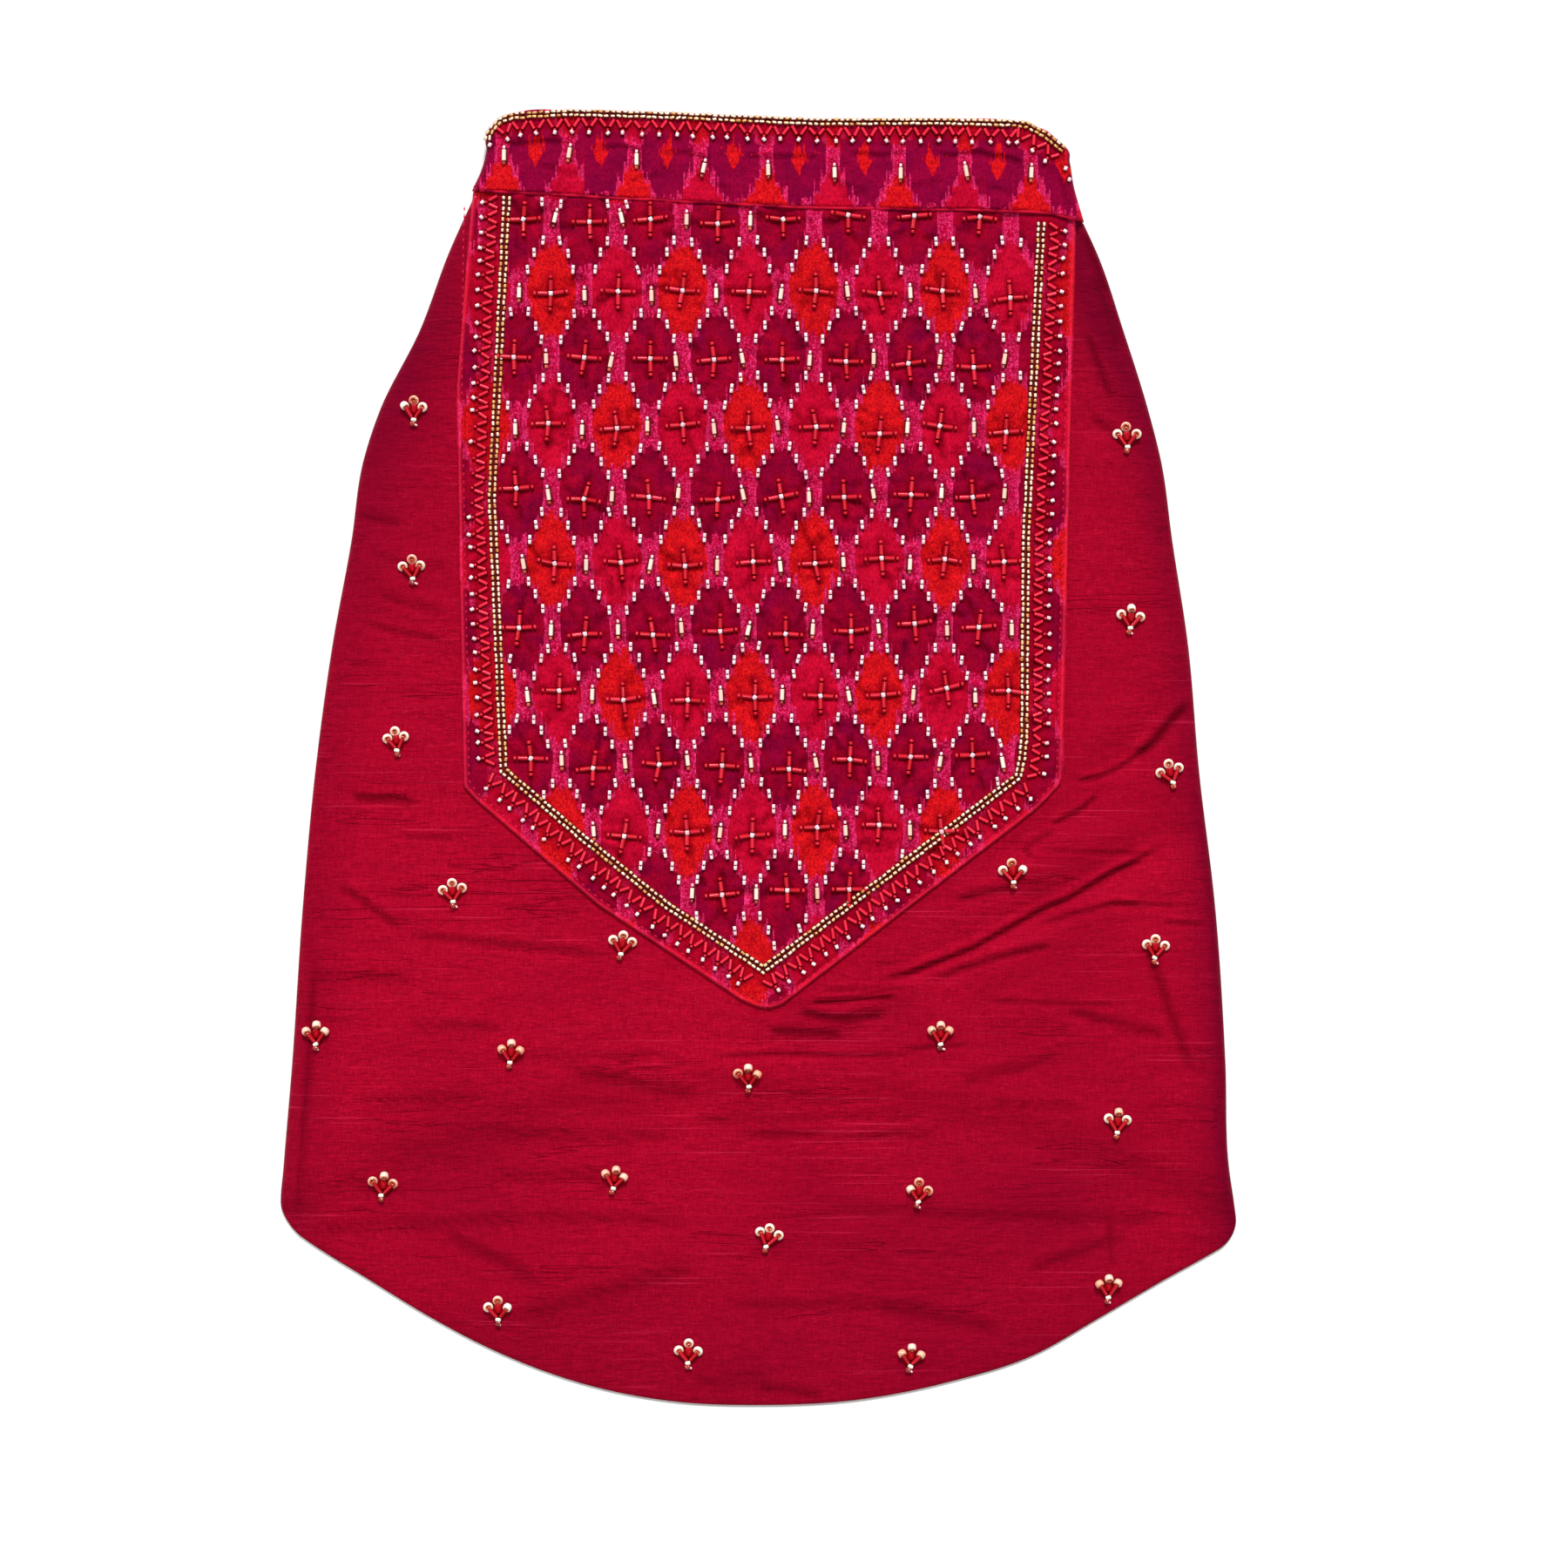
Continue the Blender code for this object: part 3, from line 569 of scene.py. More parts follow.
CREASES = (
    # half width, height, then x and y of its points: finer creases, seen one by one
    (2.3, 0.50, ((133.2, 18.1), (126.5, 11.3), (121.1, 4.6), (115.0, 0.0))),
    (1.0, 0.40, ((122.0, 5.4), (116.2, 0.5), (110.3, -3.5), (104.9, -5.7), (96.8, -7.6))),
    (1.05, 0.42, ((104.6, -11.2), (99.5, -15.7), (94.6, -18.4), (89.6, -21.0))),
    (1.3, 0.22, ((91.4, -22.4), (86.0, -25.1), (81.0, -28.4))),
    (1.3, 0.66, ((125.6, -26.4), (117.0, -31.6), (108.9, -35.4), (103.5, -38.6), (95.4, -43.5),
                 (88.7, -46.2), (83.3, -49.1), (75.2, -53.5), (65.7, -58.9), (55.5, -62.9),
                 (45.5, -66.7), (40.1, -68.0), (33.7, -69.6))),
    (2.0, 0.30, ((80.6, -40.0), (69.8, -41.3), (59.7, -44.1))),
    (1.5, 0.30, ((119.7, -45.4), (110.3, -44.8), (96.8, -48.1), (85.3, -51.6))),
    (1.8, 0.34, ((92.0, -57.0), (75.2, -61.0), (61.7, -65.1), (52.9, -69.0))),
    (1.0, 0.26, ((124.0, -50.6), (138.6, -51.6))),
    (0.9, 0.20, ((106.0, -44.9), (130.0, -45.6))),
    (1.0, 0.18, ((88.0, -28.6), (124.0, -29.8))),
    (1.1, 0.55, ((14.0, -75.6), (29.3, -74.5), (44.0, -73.8))),
    (0.95, 0.28, ((18.0, -71.9), (46.0, -71.5))),
    (1.1, -0.28, ((28.0, -80.4), (44.2, -75.1), (50.5, -70.2))),
    (2.3, 0.40, ((11.1, -78.4), (25.2, -80.7), (39.4, -78.2))),
    (2.5, 0.32, ((2.0, -84.2), (26.9, -85.6))),
    (0.95, 0.32, ((-16.0, -92.2), (7.7, -91.5), (23.9, -92.1), (47.5, -91.8))),
    (0.95, 0.26, ((44.0, -90.1), (66.4, -88.5))),
    (1.1, 0.20, ((68.0, -75.0), (112.0, -76.5))),
    (1.5, 0.24, ((-24.0, -111.6), (52.9, -110.6))),
    (1.6, 0.34, ((-10.5, -115.6), (23.9, -116.9), (58.3, -116.3))),
    (1.5, 0.24, ((70.5, -106.8), (100.1, -107.8))),
    (2.1, 0.24, ((-86.0, -116.0), (-52.0, -117.2), (-20.0, -116.2))),
    (2.1, 0.22, ((-84.0, -129.4), (-44.0, -128.6))),
    (2.2, 0.24, ((-74.0, -142.2), (-20.0, -143.2))),
    (1.5, 0.13, ((-84.0, -92.4), (-22.0, -91.6))),
    (2.2, 0.24, ((-12.2, -169.6), (30.0, -168.6), (58.4, -169.2))),
    (2.4, 0.22, ((-122.0, -106.4), (-84.0, -104.2))),
    (2.4, 0.24, ((-143.0, -146.3), (-103.0, -144.2), (-66.0, -142.0))),
    (2.2, 0.22, ((16.0, -139.0), (70.0, -141.6), (130.0, -142.8))),
    (2.1, 0.22, ((-110.9, -54.3), (-46.3, -60.8))),
    (1.5, 0.22, ((-110.0, -24.8), (-94.0, -24.4))),
    (2.1, 0.20, ((-139.4, -67.5), (-106.0, -67.5))),
    (2.1, 0.20, ((-109.7, -82.9), (-79.0, -82.9))),
    (2.0, 0.40, ((-126.6, -12.2), (-106.0, -12.8))),
    (1.8, 0.34, ((-124.9, 75.6), (-110.0, 72.6))),
    (1.6, 0.24, ((-120.0, 62.4), (-96.0, 59.0))),
    (1.6, 0.26, ((-118.0, 50.5), (-96.0, 45.0))),
    (1.6, 0.22, ((-122.0, 41.4), (-97.0, 36.0))),
    (2.2, 0.34, ((100.4, 164.0), (108.0, 142.0))),
    (2.0, -0.30, ((103.0, 150.0), (112.0, 126.0))),
    (1.8, 0.30, ((101.0, 132.0), (109.0, 110.0))),
    (2.0, 0.30, ((101.5, 105.0), (118.0, 97.0))),
    (3.2, -0.45, ((-77.7, -172.8), (-51.4, -165.5), (-17.6, -156.2))),
    (2.4, -0.34, ((-21.3, -193.6), (4.2, -189.0))),
    (2.0, 0.30, ((-2.4, -194.4), (20.5, -197.6))),
    (1.6, 0.34, ((-137.8, -57.0), (-140.5, -105.3), (-142.7, -146.6))),
    (1.8, 0.26, ((108.7, -141.0), (108.9, -158.0))),
    (2.6, 0.30, ((120.0, -58.0), (134.0, -98.0))),
    (2.2, 0.26, ((94.0, -77.6), (128.0, -86.4))),
    (2.4, 0.24, ((60.0, -100.4), (94.0, -91.6))),
    (2.6, 0.24, ((-62.0, -95.6), (-18.0, -104.4))),
    (2.2, 0.24, ((-130.0, -39.0), (-110.0, -53.0))),
    (2.8, 0.28, ((-98.0, -147.0), (-68.0, -161.0))),
    (2.6, 0.26, ((34.0, -169.6), (76.0, -176.4))),
    (2.4, 0.26, ((82.0, -158.6), (114.0, -147.4))),
)
CREASE_LIFT = 1.5
FULL_CREASE = 0.6
# painted shade near both sides, near the right side and low on the right: how much, and how far in
SIDE_SHADE = (0.42, 20.0)
RIGHT_SHADE = (0.24, 12.0)
LOW_RIGHT_SHADE = (0.40, 5.5)
LOW_RIGHT_FROM = 10.0
LOW_RIGHT_FADE = 40.0
PAINTED_SHADE_PATCHES = (
    # x, y, half width, half length, amount: patches of painted shade, where the silk is painted a
    # little darker
    (-112.0, 128.0, 26.0, 62.0, 0.58), (116.0, 118.0, 24.0, 60.0, 0.30),
    (106.0, 150.0, 13.0, 28.0, 0.8),
    (0.0, -188.0, 150.0, 26.0, 0.38), (70.0, -140.0, 70.0, 26.0, 0.34),
    (-95.0, -132.0, 44.0, 26.0, 0.26), (30.0, -84.0, 26.0, 9.0, 0.30),
    (-20.0, -160.0, 120.0, 40.0, 0.10), (105.0, -110.0, 44.0, 40.0, 0.16),
)


class Relief:
    """Heights of a cloth's face, worked out once over a fine grid and read between its points."""

    STEP = 0.5

    def __init__(self, height, xs, ys):
        self.xs, self.ys = xs, ys
        self.low = (xs[0], ys[0])
        grid_x, grid_y = np.meshgrid(np.arange(*xs, self.STEP), np.arange(*ys, self.STEP))
        self.values = height(grid_x, grid_y)

    def __call__(self, x, y):
        rows, columns = self.values.shape
        gx = np.clip((np.asarray(x) - self.low[0]) / self.STEP, 0.0, columns - 1.001)
        gy = np.clip((np.asarray(y) - self.low[1]) / self.STEP, 0.0, rows - 1.001)
        i, j = np.floor(gy).astype(int), np.floor(gx).astype(int)
        ty, tx = gy - i, gx - j
        low = self.values[i, j] * (1 - tx) + self.values[i, j + 1] * tx
        high = self.values[i + 1, j] * (1 - tx) + self.values[i + 1, j + 1] * tx
        return low * (1 - ty) + high * ty

    def hollows(self, reach, full):
        """How deep each place lies under those round it, 0 to 1, read the same way."""
        spread = self.values
        steps = round(reach / self.STEP)
        for axis in (0, 1):
            spread = sum(np.roll(spread, k, axis) for k in range(-steps, steps + 1))
            spread = spread / (2 * steps + 1)
        deep = np.clip((spread - self.values) / full, 0.0, 1.0)
        return Relief(lambda x, y: deep, self.xs, self.ys)


def bells(rows, x, y):
    """Height that folds add at places: a soft bell across each, fading at its ends."""
    height = np.zeros_like(x)
    for x0, y0, x1, y1, half_width, rise in rows:
        run = math.hypot(x1 - x0, y1 - y0)
        along = ((x - x0) * (x1 - x0) + (y - y0) * (y1 - y0)) / run
        across = ((x - x0) * (y1 - y0) - (y - y0) * (x1 - x0)) / run
        past_end = np.maximum(np.maximum(-along, along - run), 0.0)
        height += rise * np.exp(-(across / half_width) ** 2 - (past_end / half_width) ** 2)
    return height


def creases(rows, x, y):
    """Creases at places: a rise on the collar's side of each line, a hollow on the other, and the
    line itself, 0 to 1, where painted shade goes.
    """
    height = np.zeros_like(x)
    line = np.zeros_like(x)
    for half_width, rise, points in rows:
        points = np.array(sorted(points))
        reach = 3.0 * half_width
        near = (x > points[:, 0].min() - reach) & (x < points[:, 0].max() + reach)
        near &= (y > points[:, 1].min() - reach) & (y < points[:, 1].max() + reach)
        px, py = x[near], y[near]
        closest = np.full(px.shape, 1e9)
        across = np.zeros(px.shape)
        passed = np.zeros(px.shape)
        done = 0.0
        for (x0, y0), (x1, y1) in zip(points, points[1:]):
            run = math.hypot(x1 - x0, y1 - y0)
            on = ((px - x0) * (x1 - x0) + (py - y0) * (y1 - y0)) / run
            off = ((px - x0) * (y1 - y0) - (py - y0) * (x1 - x0)) / run
            clamped = np.clip(on, 0.0, run)
            away = np.hypot(on - clamped, off)
            nearer = away < closest
            closest = np.where(nearer, away, closest)
            across = np.where(nearer, np.sign(off) * away, across)
            passed = np.where(nearer, done + clamped, passed)
            done += run
        fade = ease(passed / (0.15 * done)) * ease((done - passed) / (0.15 * done))
        turn = across / half_width
        height[near] -= rise * fade * math.sqrt(2.0) * turn * np.exp(0.5 - turn ** 2)
        # the line's strength, used as painted shade along the crease
        strength = min(1.0, abs(rise) / FULL_CREASE) * fade
        line[near] = np.maximum(line[near], strength * np.exp(-((turn - 0.15) * 1.5) ** 2))
    return height, line


def unevenness(x, y):
    """How the laid silk lifts and dips a little everywhere, in no order."""
    return (0.26 * soft_noise(x, y * 1.3, 46.0, 3) + 0.14 * soft_noise(x, y * 1.6, 19.0, 4)
            + 0.075 * soft_noise(x * 0.6, y * 1.5, 8.0, 5))


def shade_near(distance, amount, reach):
    """Painted shade that fades from an amount at an edge to none at a reach from it."""
    return amount * ease(1.0 - distance / reach)


def painted_shade_at(x, y):
    """How much painted shade, darker and cooler, the silk has at places: near the sides, and in
    some patches.
    """
    from_right = right_side(y) - x
    shade = shade_near(from_sides(x, y), *SIDE_SHADE) + shade_near(from_right, *RIGHT_SHADE)
    shade += (shade_near(from_right, *LOW_RIGHT_SHADE)
              * ease((LOW_RIGHT_FROM - y) / LOW_RIGHT_FADE))
    for cx, cy, half_width, half_length, amount in PAINTED_SHADE_PATCHES:
        shade += amount * np.exp(-((x - cx) / half_width) ** 2 - ((y - cy) / half_length) ** 2)
    return np.clip(shade + 0.05 * soft_noise(x, y, 24.0, 9), 0.0, 1.0)


def at_corners(x, y):
    """For each lower corner: it, the runs of side and hem that its rounding takes up, and how far
    places lie from those runs' ends, 1 at the corner's edges and 0 where the rounding ends.
    """
    for corner, side, hand in ((CORNER_LEFT, left_side, 1.0), (CORNER_RIGHT, right_side, -1.0)):
        hem_x = corner[0] + hand * CORNER_ROUND
        side_x = float(side(np.array(corner[1] + CORNER_ROUND)))
        up = (side_x - corner[0], CORNER_ROUND)
        inward = (hand * CORNER_ROUND, float(tail_hem(np.array(hem_x))) - corner[1])
        area = up[0] * inward[1] - up[1] * inward[0]
        dx, dy = x - corner[0], y - corner[1]
        u = 1.0 - (up[0] * dy - up[1] * dx) / area
        v = 1.0 - (dx * inward[1] - dy * inward[0]) / area
        yield corner, up, inward, u, v, (u > 0.0) & (v > 0.0)


def round_corners(x, y):
    """Places moved so that both lower corners are round."""
    for corner, up, inward, u, v, near in at_corners(x, y):
        u, v = np.clip(u, 0.0, 1.0), np.clip(v, 0.0, 1.0)
        along_hem = 1.0 - u * np.sqrt(1.0 - v * v / 2.0)
        along_side = 1.0 - v * np.sqrt(1.0 - u * u / 2.0)
        x = np.where(near, corner[0] + along_side * up[0] + along_hem * inward[0], x)
        y = np.where(near, corner[1] + along_side * up[1] + along_hem * inward[1], y)
    return x, y


def corner_inset(x, y):
    """Distance from the rounded corners' edges, large away from them."""
    inset = np.full(np.shape(x), 99.0)
    for corner, up, inward, u, v, near in at_corners(x, y):
        inset = np.where(near, (1.0 - np.hypot(u, v)) * CORNER_ROUND, inset)
    return inset


def back_height(x, y):
    """Height of the back panel's outer face over the floor."""
    on_floor = ease((belly_hem(x) - y - SEAM_GAP) / TAIL_DROP)
    rest = (CAD_BELLY + SEAM_GAP) * (1 - on_floor)
    air = AIR_UNDER_BACK + (AIR_UNDER_TAIL - AIR_UNDER_BACK) * on_floor
    from_side = from_sides(x, y)
    from_hem = y - tail_hem(x)
    roll = np.sin(0.5 * np.pi * np.clip(from_side / SIDE_ROLL, 0.0, 1.0))
    roll = roll * np.sin(0.5 * np.pi * np.clip(from_hem / HEM_ROLL, 0.0, 1.0))
    folds = bells(FOLDS, x, y) + CREASE_LIFT * creases(CREASES, x, y)[0] + unevenness(x, y)
    height = rest + CAD_CLOTH - HEM_THINNER * on_floor + roll * (air + folds)
    at_seam = SEAM_LEVEL * (1 - on_floor) + HEM_LEVEL * on_floor
    edge = quarter_round(from_side, EDGE_ROLL) * quarter_round(from_hem, EDGE_ROLL)
    edge = np.minimum(edge, quarter_round(corner_inset(x, y), EDGE_ROLL))
    return at_seam + (height - at_seam) * edge


back_us = places_along(BACK_WIDE, BACK_COLUMN_STEP, BACK_EDGE, CREASED_COLUMNS) / BACK_WIDE
back_vs = places_along(BACK_LONG, BACK_ROW_STEP, BACK_EDGE, CREASED_ROWS) / BACK_LONG
flat = panel_places(back_us, back_vs, tail_hem, CORNER_LEFT, CORNER_RIGHT)
x, y = round_corners(flat[..., 0], flat[..., 1])
back_level = Relief(back_height, (-150.0, 150.0), (-202.0, 178.0))
back_mesh = mesh_of("back_cloth", np.stack([x, y, back_height(x, y)], -1).reshape(-1, 3),
                    grid_faces(*x.shape))
# painted shade, darker and cooler near the sides and in patches
carry(back_mesh, "shade", painted_shade_at(x, y))
# painted shade along the creases
carry(back_mesh, "crease", creases(CREASES, x, y)[1])
back = cloth_shell("back_cloth", back_mesh, silk_finish("crimson_raw_silk"), BACK_CLOTH)
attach(back, "root")
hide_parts("back_panel")


# Yoke: a pointed panel of warp ikat laid over the upper back, its edges turned under and sewn
# down. Rows of plum diamonds take turns with orange-red and crimson ones, barred with magenta.
YOKE_CLOTH = 0.7
YOKE_LIFT = 1.3
YOKE_TUCK = 0.8
YOKE_EDGE_ROLL = 0.8
# height, distance from the edge and half width
YOKE_RIDGE = (0.26, 0.9, 0.5)
YOKE_GROOVE = (-0.30, 1.9, 0.5)
# painted highlight along the yoke's folded edge, in the same columns
FOLD_HIGHLIGHT = (1.0, 0.6, 0.55)
QUILTING = (
    # height, cell, seed
    (0.32, 9.0, 21), (0.26, 4.8, 22), (0.12, 2.6, 23),
)
YOKE_SPAN = 190.0
YOKE_STEP = 1.08
YOKE_EDGE = (0.0, 0.1, 0.3, 0.7, 1.2, 1.7, 2.3)
YOKE_LEFT = (
    # y, x
    (182.0, -88.3), (113.0, -93.8), (50.0, -92.6), (-9.2, -91.6), (-13.5, -87.6), (-45.9, -50.0),
    (-75.4, -5.5), (-77.4, -0.5),
)
YOKE_RIGHT = (
    # y, x
    (182.0, 98.0), (167.7, 97.8), (80.0, 95.6), (-3.0, 93.8), (-8.4, 93.0), (-12.4, 89.4),
    (-15.8, 86.0), (-21.2, 79.2), (-76.6, 7.0),
)
YOKE_TIP = -77.8
YOKE_TIP_MIDDLE = 3.2
YOKE_TIP_ENDS = (1.2, 5.0)
YOKE_ROWS_FROM = 177.6
POINT_ROWS_FROM = -9.2
POINT_STEP = 0.95
IKAT_COLUMN = -74.4
IKAT_PITCH = 20.25
IKAT_ROW = 164.8
IKAT_HALF_ROW = 20.85
DRIFT_FROM = 45.0
DRIFT = 1.06
DRIFT_TURN = -0.0303
BUNDLE = 2.025
THREAD = 0.52
CROSSES = (
    # x, y
    (-72.9, 165.8), (-52.5, 165.0), (-33.7, 165.8), (-13.0, 164.4), (7.2, 165.8), (27.3, 167.1),
    (47.7, 166.9), (67.9, 166.6),
    (-64.4, 142.9), (-43.7, 143.5), (-23.8, 143.8), (-3.3, 143.5), (17.4, 143.8), (37.0, 142.9),
    (56.4, 143.8), (77.3, 141.6),
    (-75.9, 123.3), (-54.1, 123.1), (-33.7, 122.8), (-14.1, 122.5), (6.9, 122.5), (26.6, 122.0),
    (45.9, 121.4), (66.0, 120.1),
    (-65.2, 102.9), (-44.0, 101.3), (-23.7, 102.4), (-3.6, 101.3), (17.4, 101.8), (37.0, 99.7),
    (55.6, 102.1), (76.0, 100.2),
    (-75.1, 82.8), (-54.2, 79.5), (-34.2, 80.1), (-13.0, 79.3), (6.6, 80.3), (26.0, 80.1),
    (46.7, 80.9), (65.7, 80.1),
    (-63.3, 59.6), (-42.8, 59.9), (-23.0, 58.8), (-2.0, 60.2), (17.1, 59.6), (37.6, 61.3),
    (57.1, 61.0), (75.4, 60.2),
    (-74.3, 39.8), (-53.9, 37.9), (-32.9, 37.6), (-12.2, 38.7), (8.0, 37.9), (28.2, 38.7),
    (47.8, 41.1), (67.6, 40.0),
    (-61.9, 20.4), (-42.0, 17.5), (-22.2, 17.5), (-1.5, 18.3), (18.7, 18.8), (38.1, 19.1),
    (57.7, 21.2), (76.8, 20.4),
    (-70.6, -0.5), (-51.4, -3.5), (-31.0, -2.4), (-11.6, -2.7), (9.0, -3.8), (27.8, -0.8),
    (46.6, -0.0), (65.7, 0.5),
    (-41.8, -24.5), (-22.4, -23.4), (-2.3, -24.2), (17.7, -21.8), (36.8, -21.0), (56.1, -23.1),
    (-11.6, -42.6), (8.5, -41.2), (27.6, -40.9),
)
BARS = (
    # y, x of the first, x of the last, how many
    (165.7, -63.2, 57.9, 7), (142.9, -74.2, 66.9, 8), (122.3, -65.9, 76.0, 8),
    (101.4, -75.0, 66.2, 8), (80.6, -65.4, 75.8, 8), (59.4, -73.0, 65.8, 8),
    (39.2, -64.2, 77.6, 8), (18.7, -71.9, 66.9, 8), (-1.9, -60.8, 75.2, 8),
    (-23.0, -51.2, 46.4, 6), (-41.6, -21.0, 37.4, 4),
)


def ikat_drift(x, y):
    """How far the pattern has slipped sideways low on the yoke."""
    return np.clip((DRIFT_FROM - y) / DRIFT_FROM, 0.0, 1.0) * (DRIFT + DRIFT_TURN * x)


def ikat_finish(name, column, pitch, row, slope, collar):
    """Warp ikat: diamonds with stepped, feathered edges, since each bundle of threads slipped.
    Column and row are the middle of the first plum diamond, and slope is how the rows lean. The
    collar has a cooler plum and flames of orange, and the yoke's pattern drifts low down.
    """
    cloth = Finish(name, roughness=0.60, specular=0.07, Specular_Tint=(1.0, 0.05, 0.16, 1.0),
                   Sheen_Weight=0.04, Sheen_Tint=(1.0, 0.03, 0.12, 1.0))
    mm = cloth.place()
    x = cloth.add("ShaderNodeSeparateXYZ", mm, out="X")
    y = x * slope + cloth.add("ShaderNodeSeparateXYZ", mm, out="Y")
    if not collar:
        x = x - y.ramp(DRIFT_FROM, 0.0) * (x * DRIFT_TURN + DRIFT)
    across = x - column
    down = row - y
    bundle = math.floor((across + BUNDLE / 2) / BUNDLE)
    thread = math.floor(across / THREAD)
    band = math.floor(down / IKAT_HALF_ROW)
    thread_slip = cloth.speck(thread, band, 8.7)
    slip = cloth.speck(bundle, band, 3.1) * 2.2 - 1.1 + (thread_slip * 2.4 - 1.2)

    def zigzag(value, period):
        """0 at whole periods, 1 half-way between."""
        return 1.0 - abs(cloth.calc("FRACT", value / period) * 2.0 - 1.0)

    fx = zigzag(bundle * (0.75 * BUNDLE) + across * 0.25, pitch)
    fx_bar = zigzag(across, pitch)
    fy = zigzag(down + slip, 2 * IKAT_HALF_ROW)
    in_diamond = fx + fy
    grain = cloth.noise(mm, (1.7, 0.75, 0.5), 3.0, 0.62)
    fleck = cloth.noise(mm, (1.7, 1.5, 0.9), 2.0, 0.6)
    streak = cloth.noise(mm, (1.5, 0.10, 0.9), 2.0, 0.6)
    cloudy = cloth.noise(mm, (0.15, 0.13, 0.2), 3.0, 0.6)
    cool = cloth.noise(mm, (0.10, 0.12, 1.3), 2.0)
    dark_plum = (0.190, 0.0007, 0.0330) if collar else (0.205, 0.0007, 0.0225)
    warm_plum = (0.285, 0.0010, 0.0380) if collar else (0.385, 0.0014, 0.0215)
    plum = cloth.layered(dark_plum, (cloudy.ramp(0.36, 0.64), warm_plum),
                         (cool.ramp(0.48, 0.70, 0.0, 0.75), (0.190, 0.0007, 0.0370)),
                         (streak.ramp(0.50, 0.75, 0.0, 0.45), (0.42, 0.0016, 0.024)))
    crimson = cloth.mix(cloudy.ramp(0.3, 0.7), (0.450, 0.0018, 0.0210), (0.640, 0.0042, 0.0330))
    orange = cloth.mix(fleck.ramp(0.36, 0.68), (0.520, 0.0022, 0.0075), (0.830, 0.0125, 0.0120))
    bright = fleck.ramp(0.47, 0.66, 0.0, 0.85) + abs(fx_bar - 0.5).ramp(0.40, 0.28) * 0.22
    magenta = cloth.layered((0.50, 0.0009, 0.036), (bright, (1.0, 0.0560, 0.275)),
                            (streak.ramp(0.48, 0.62, 0.0, 0.34), (0.46, 0.0018, 0.036)))
    turn = math.floor(across / pitch) + math.floor(down / (2 * IKAT_HALF_ROW))
    every_other = cloth.calc("FLOORED_MODULO", turn, 2.0) > 0.5
    first, second = (crimson, orange) if collar else (orange, crimson)
    fringe = abs(in_diamond - 1.02) < thread_slip * 0.16 - 0.015
    bar_top = ((fx_bar > (thread_slip * 0.07 + 0.765 if collar else 0.755))
               * (fy < (0.20 if collar else 0.335)))
    bar_low = (fx_bar < 0.245) * (fy > 0.665)
    colour = cloth.layered(plum, (in_diamond > 1.0, cloth.mix(every_other, first, second)),
                           (fringe * 0.8, magenta),
                           (cloth.calc("MAXIMUM", bar_top, bar_low), magenta))
    if collar:
        flame = fy < thread_slip * 0.15 + fx_bar.ramp(0.0, 0.33, 0.16, -0.13)
        colour = cloth.mix(flame, colour, orange)
    colour = cloth.layered(colour, (grain.ramp(0.42, 0.66, 0.0, 0.54), (0.13, 0.0004, 0.007)),
                           # painted red cast beside the red beads: reflected red and shade
                           (cloth.carried("glow") * 0.80, (0.345, 0.0010, 0.0130)))
    # painted shade beside the beads and in the hollows of the relief
    colour = cloth.mix(cloth.carried("dip") * 0.85, colour, (0.36, 0.16, 0.26), "MULTIPLY")
    # painted highlight along the yoke's folded edge
    cloth.paint(colour, (cloth.carried("fold") * 0.60, (0.86, 0.0200, 0.060)))
    cloth.relief(grain * 0.5 + cloth.noise(mm, (0.30, 0.34, 0.3), 3.0, 0.6) * 1.6, 0.60, 0.8)
    return cloth


rng = np.random.default_rng(7)
cross_spots = np.array(CROSSES)
bar_spots = []
for bar_y, first_x, last_x, count in BARS:
    xs = np.linspace(first_x, last_x, count) + rng.uniform(-0.5, 0.5, count)
    bar_spots += list(zip(xs, bar_y + rng.uniform(-0.8, 0.8, count)))


def yoke_inset(x, y):
    """Distance of places on the yoke from its outline, over 0 inside."""
    inset = np.full(np.shape(x), 1e3)
    left = [(p[1], p[0]) for p in YOKE_LEFT]
    right = [(p[1], p[0]) for p in YOKE_RIGHT]
    ring = left + [(YOKE_TIP_MIDDLE, YOKE_TIP)] + right[::-1]
    for (x0, y0), (x1, y1) in zip(ring, ring[1:]):
        run = math.hypot(x1 - x0, y1 - y0)
        inset = np.minimum(inset, ((x1 - x0) * (y - y0) - (y1 - y0) * (x - x0)) / run)
    return np.clip(inset, 0.0, None)


def stitched_puckers():
    """Short creases round each cross, where its thread draws the cloth in."""
    rows = []
    pick = np.random.default_rng(12)
    for cx, cy in cross_spots:
        for _ in range(5):
            a = pick.uniform(0.0, 2 * math.pi)
            start = pick.uniform(2.0, 6.0)
            long = pick.uniform(3.5, 8.0)
            bend = a + pick.uniform(-0.7, 0.7)
            x0, y0 = cx + start * math.cos(a), cy + start * math.sin(a)
            x1, y1 = x0 + long * math.cos(bend), y0 + long * math.sin(bend)
            rows.append((pick.uniform(1.2, 1.7), pick.uniform(0.26, 0.60), ((x0, y0), (x1, y1))))
    return rows


PUCKERS = stitched_puckers()


def quilting(x, y):
    """How the beading draws the cloth in at each cross, and puffs it between."""
    height = sum(rise * soft_noise(x, y, cell, seed) for rise, cell, seed in QUILTING)
    for cx, cy in cross_spots:
        across, along_y = np.abs(x - cx), np.abs(y - cy)
        near = (across < 16.0) & (along_y < 16.0)
        across, along_y = across[near], along_y[near]
        away = across ** 2 + along_y ** 2
        arms = (np.exp(-(along_y / 1.5) ** 2 - (across / 5.6) ** 4)
                + np.exp(-(across / 1.5) ** 2 - (along_y / 5.6) ** 4))
        height[near] += 0.34 * np.exp(-away / 90.0) - 0.30 * np.exp(-away / 10.0) - 0.42 * arms
    return height + creases(PUCKERS, x, y)[0]


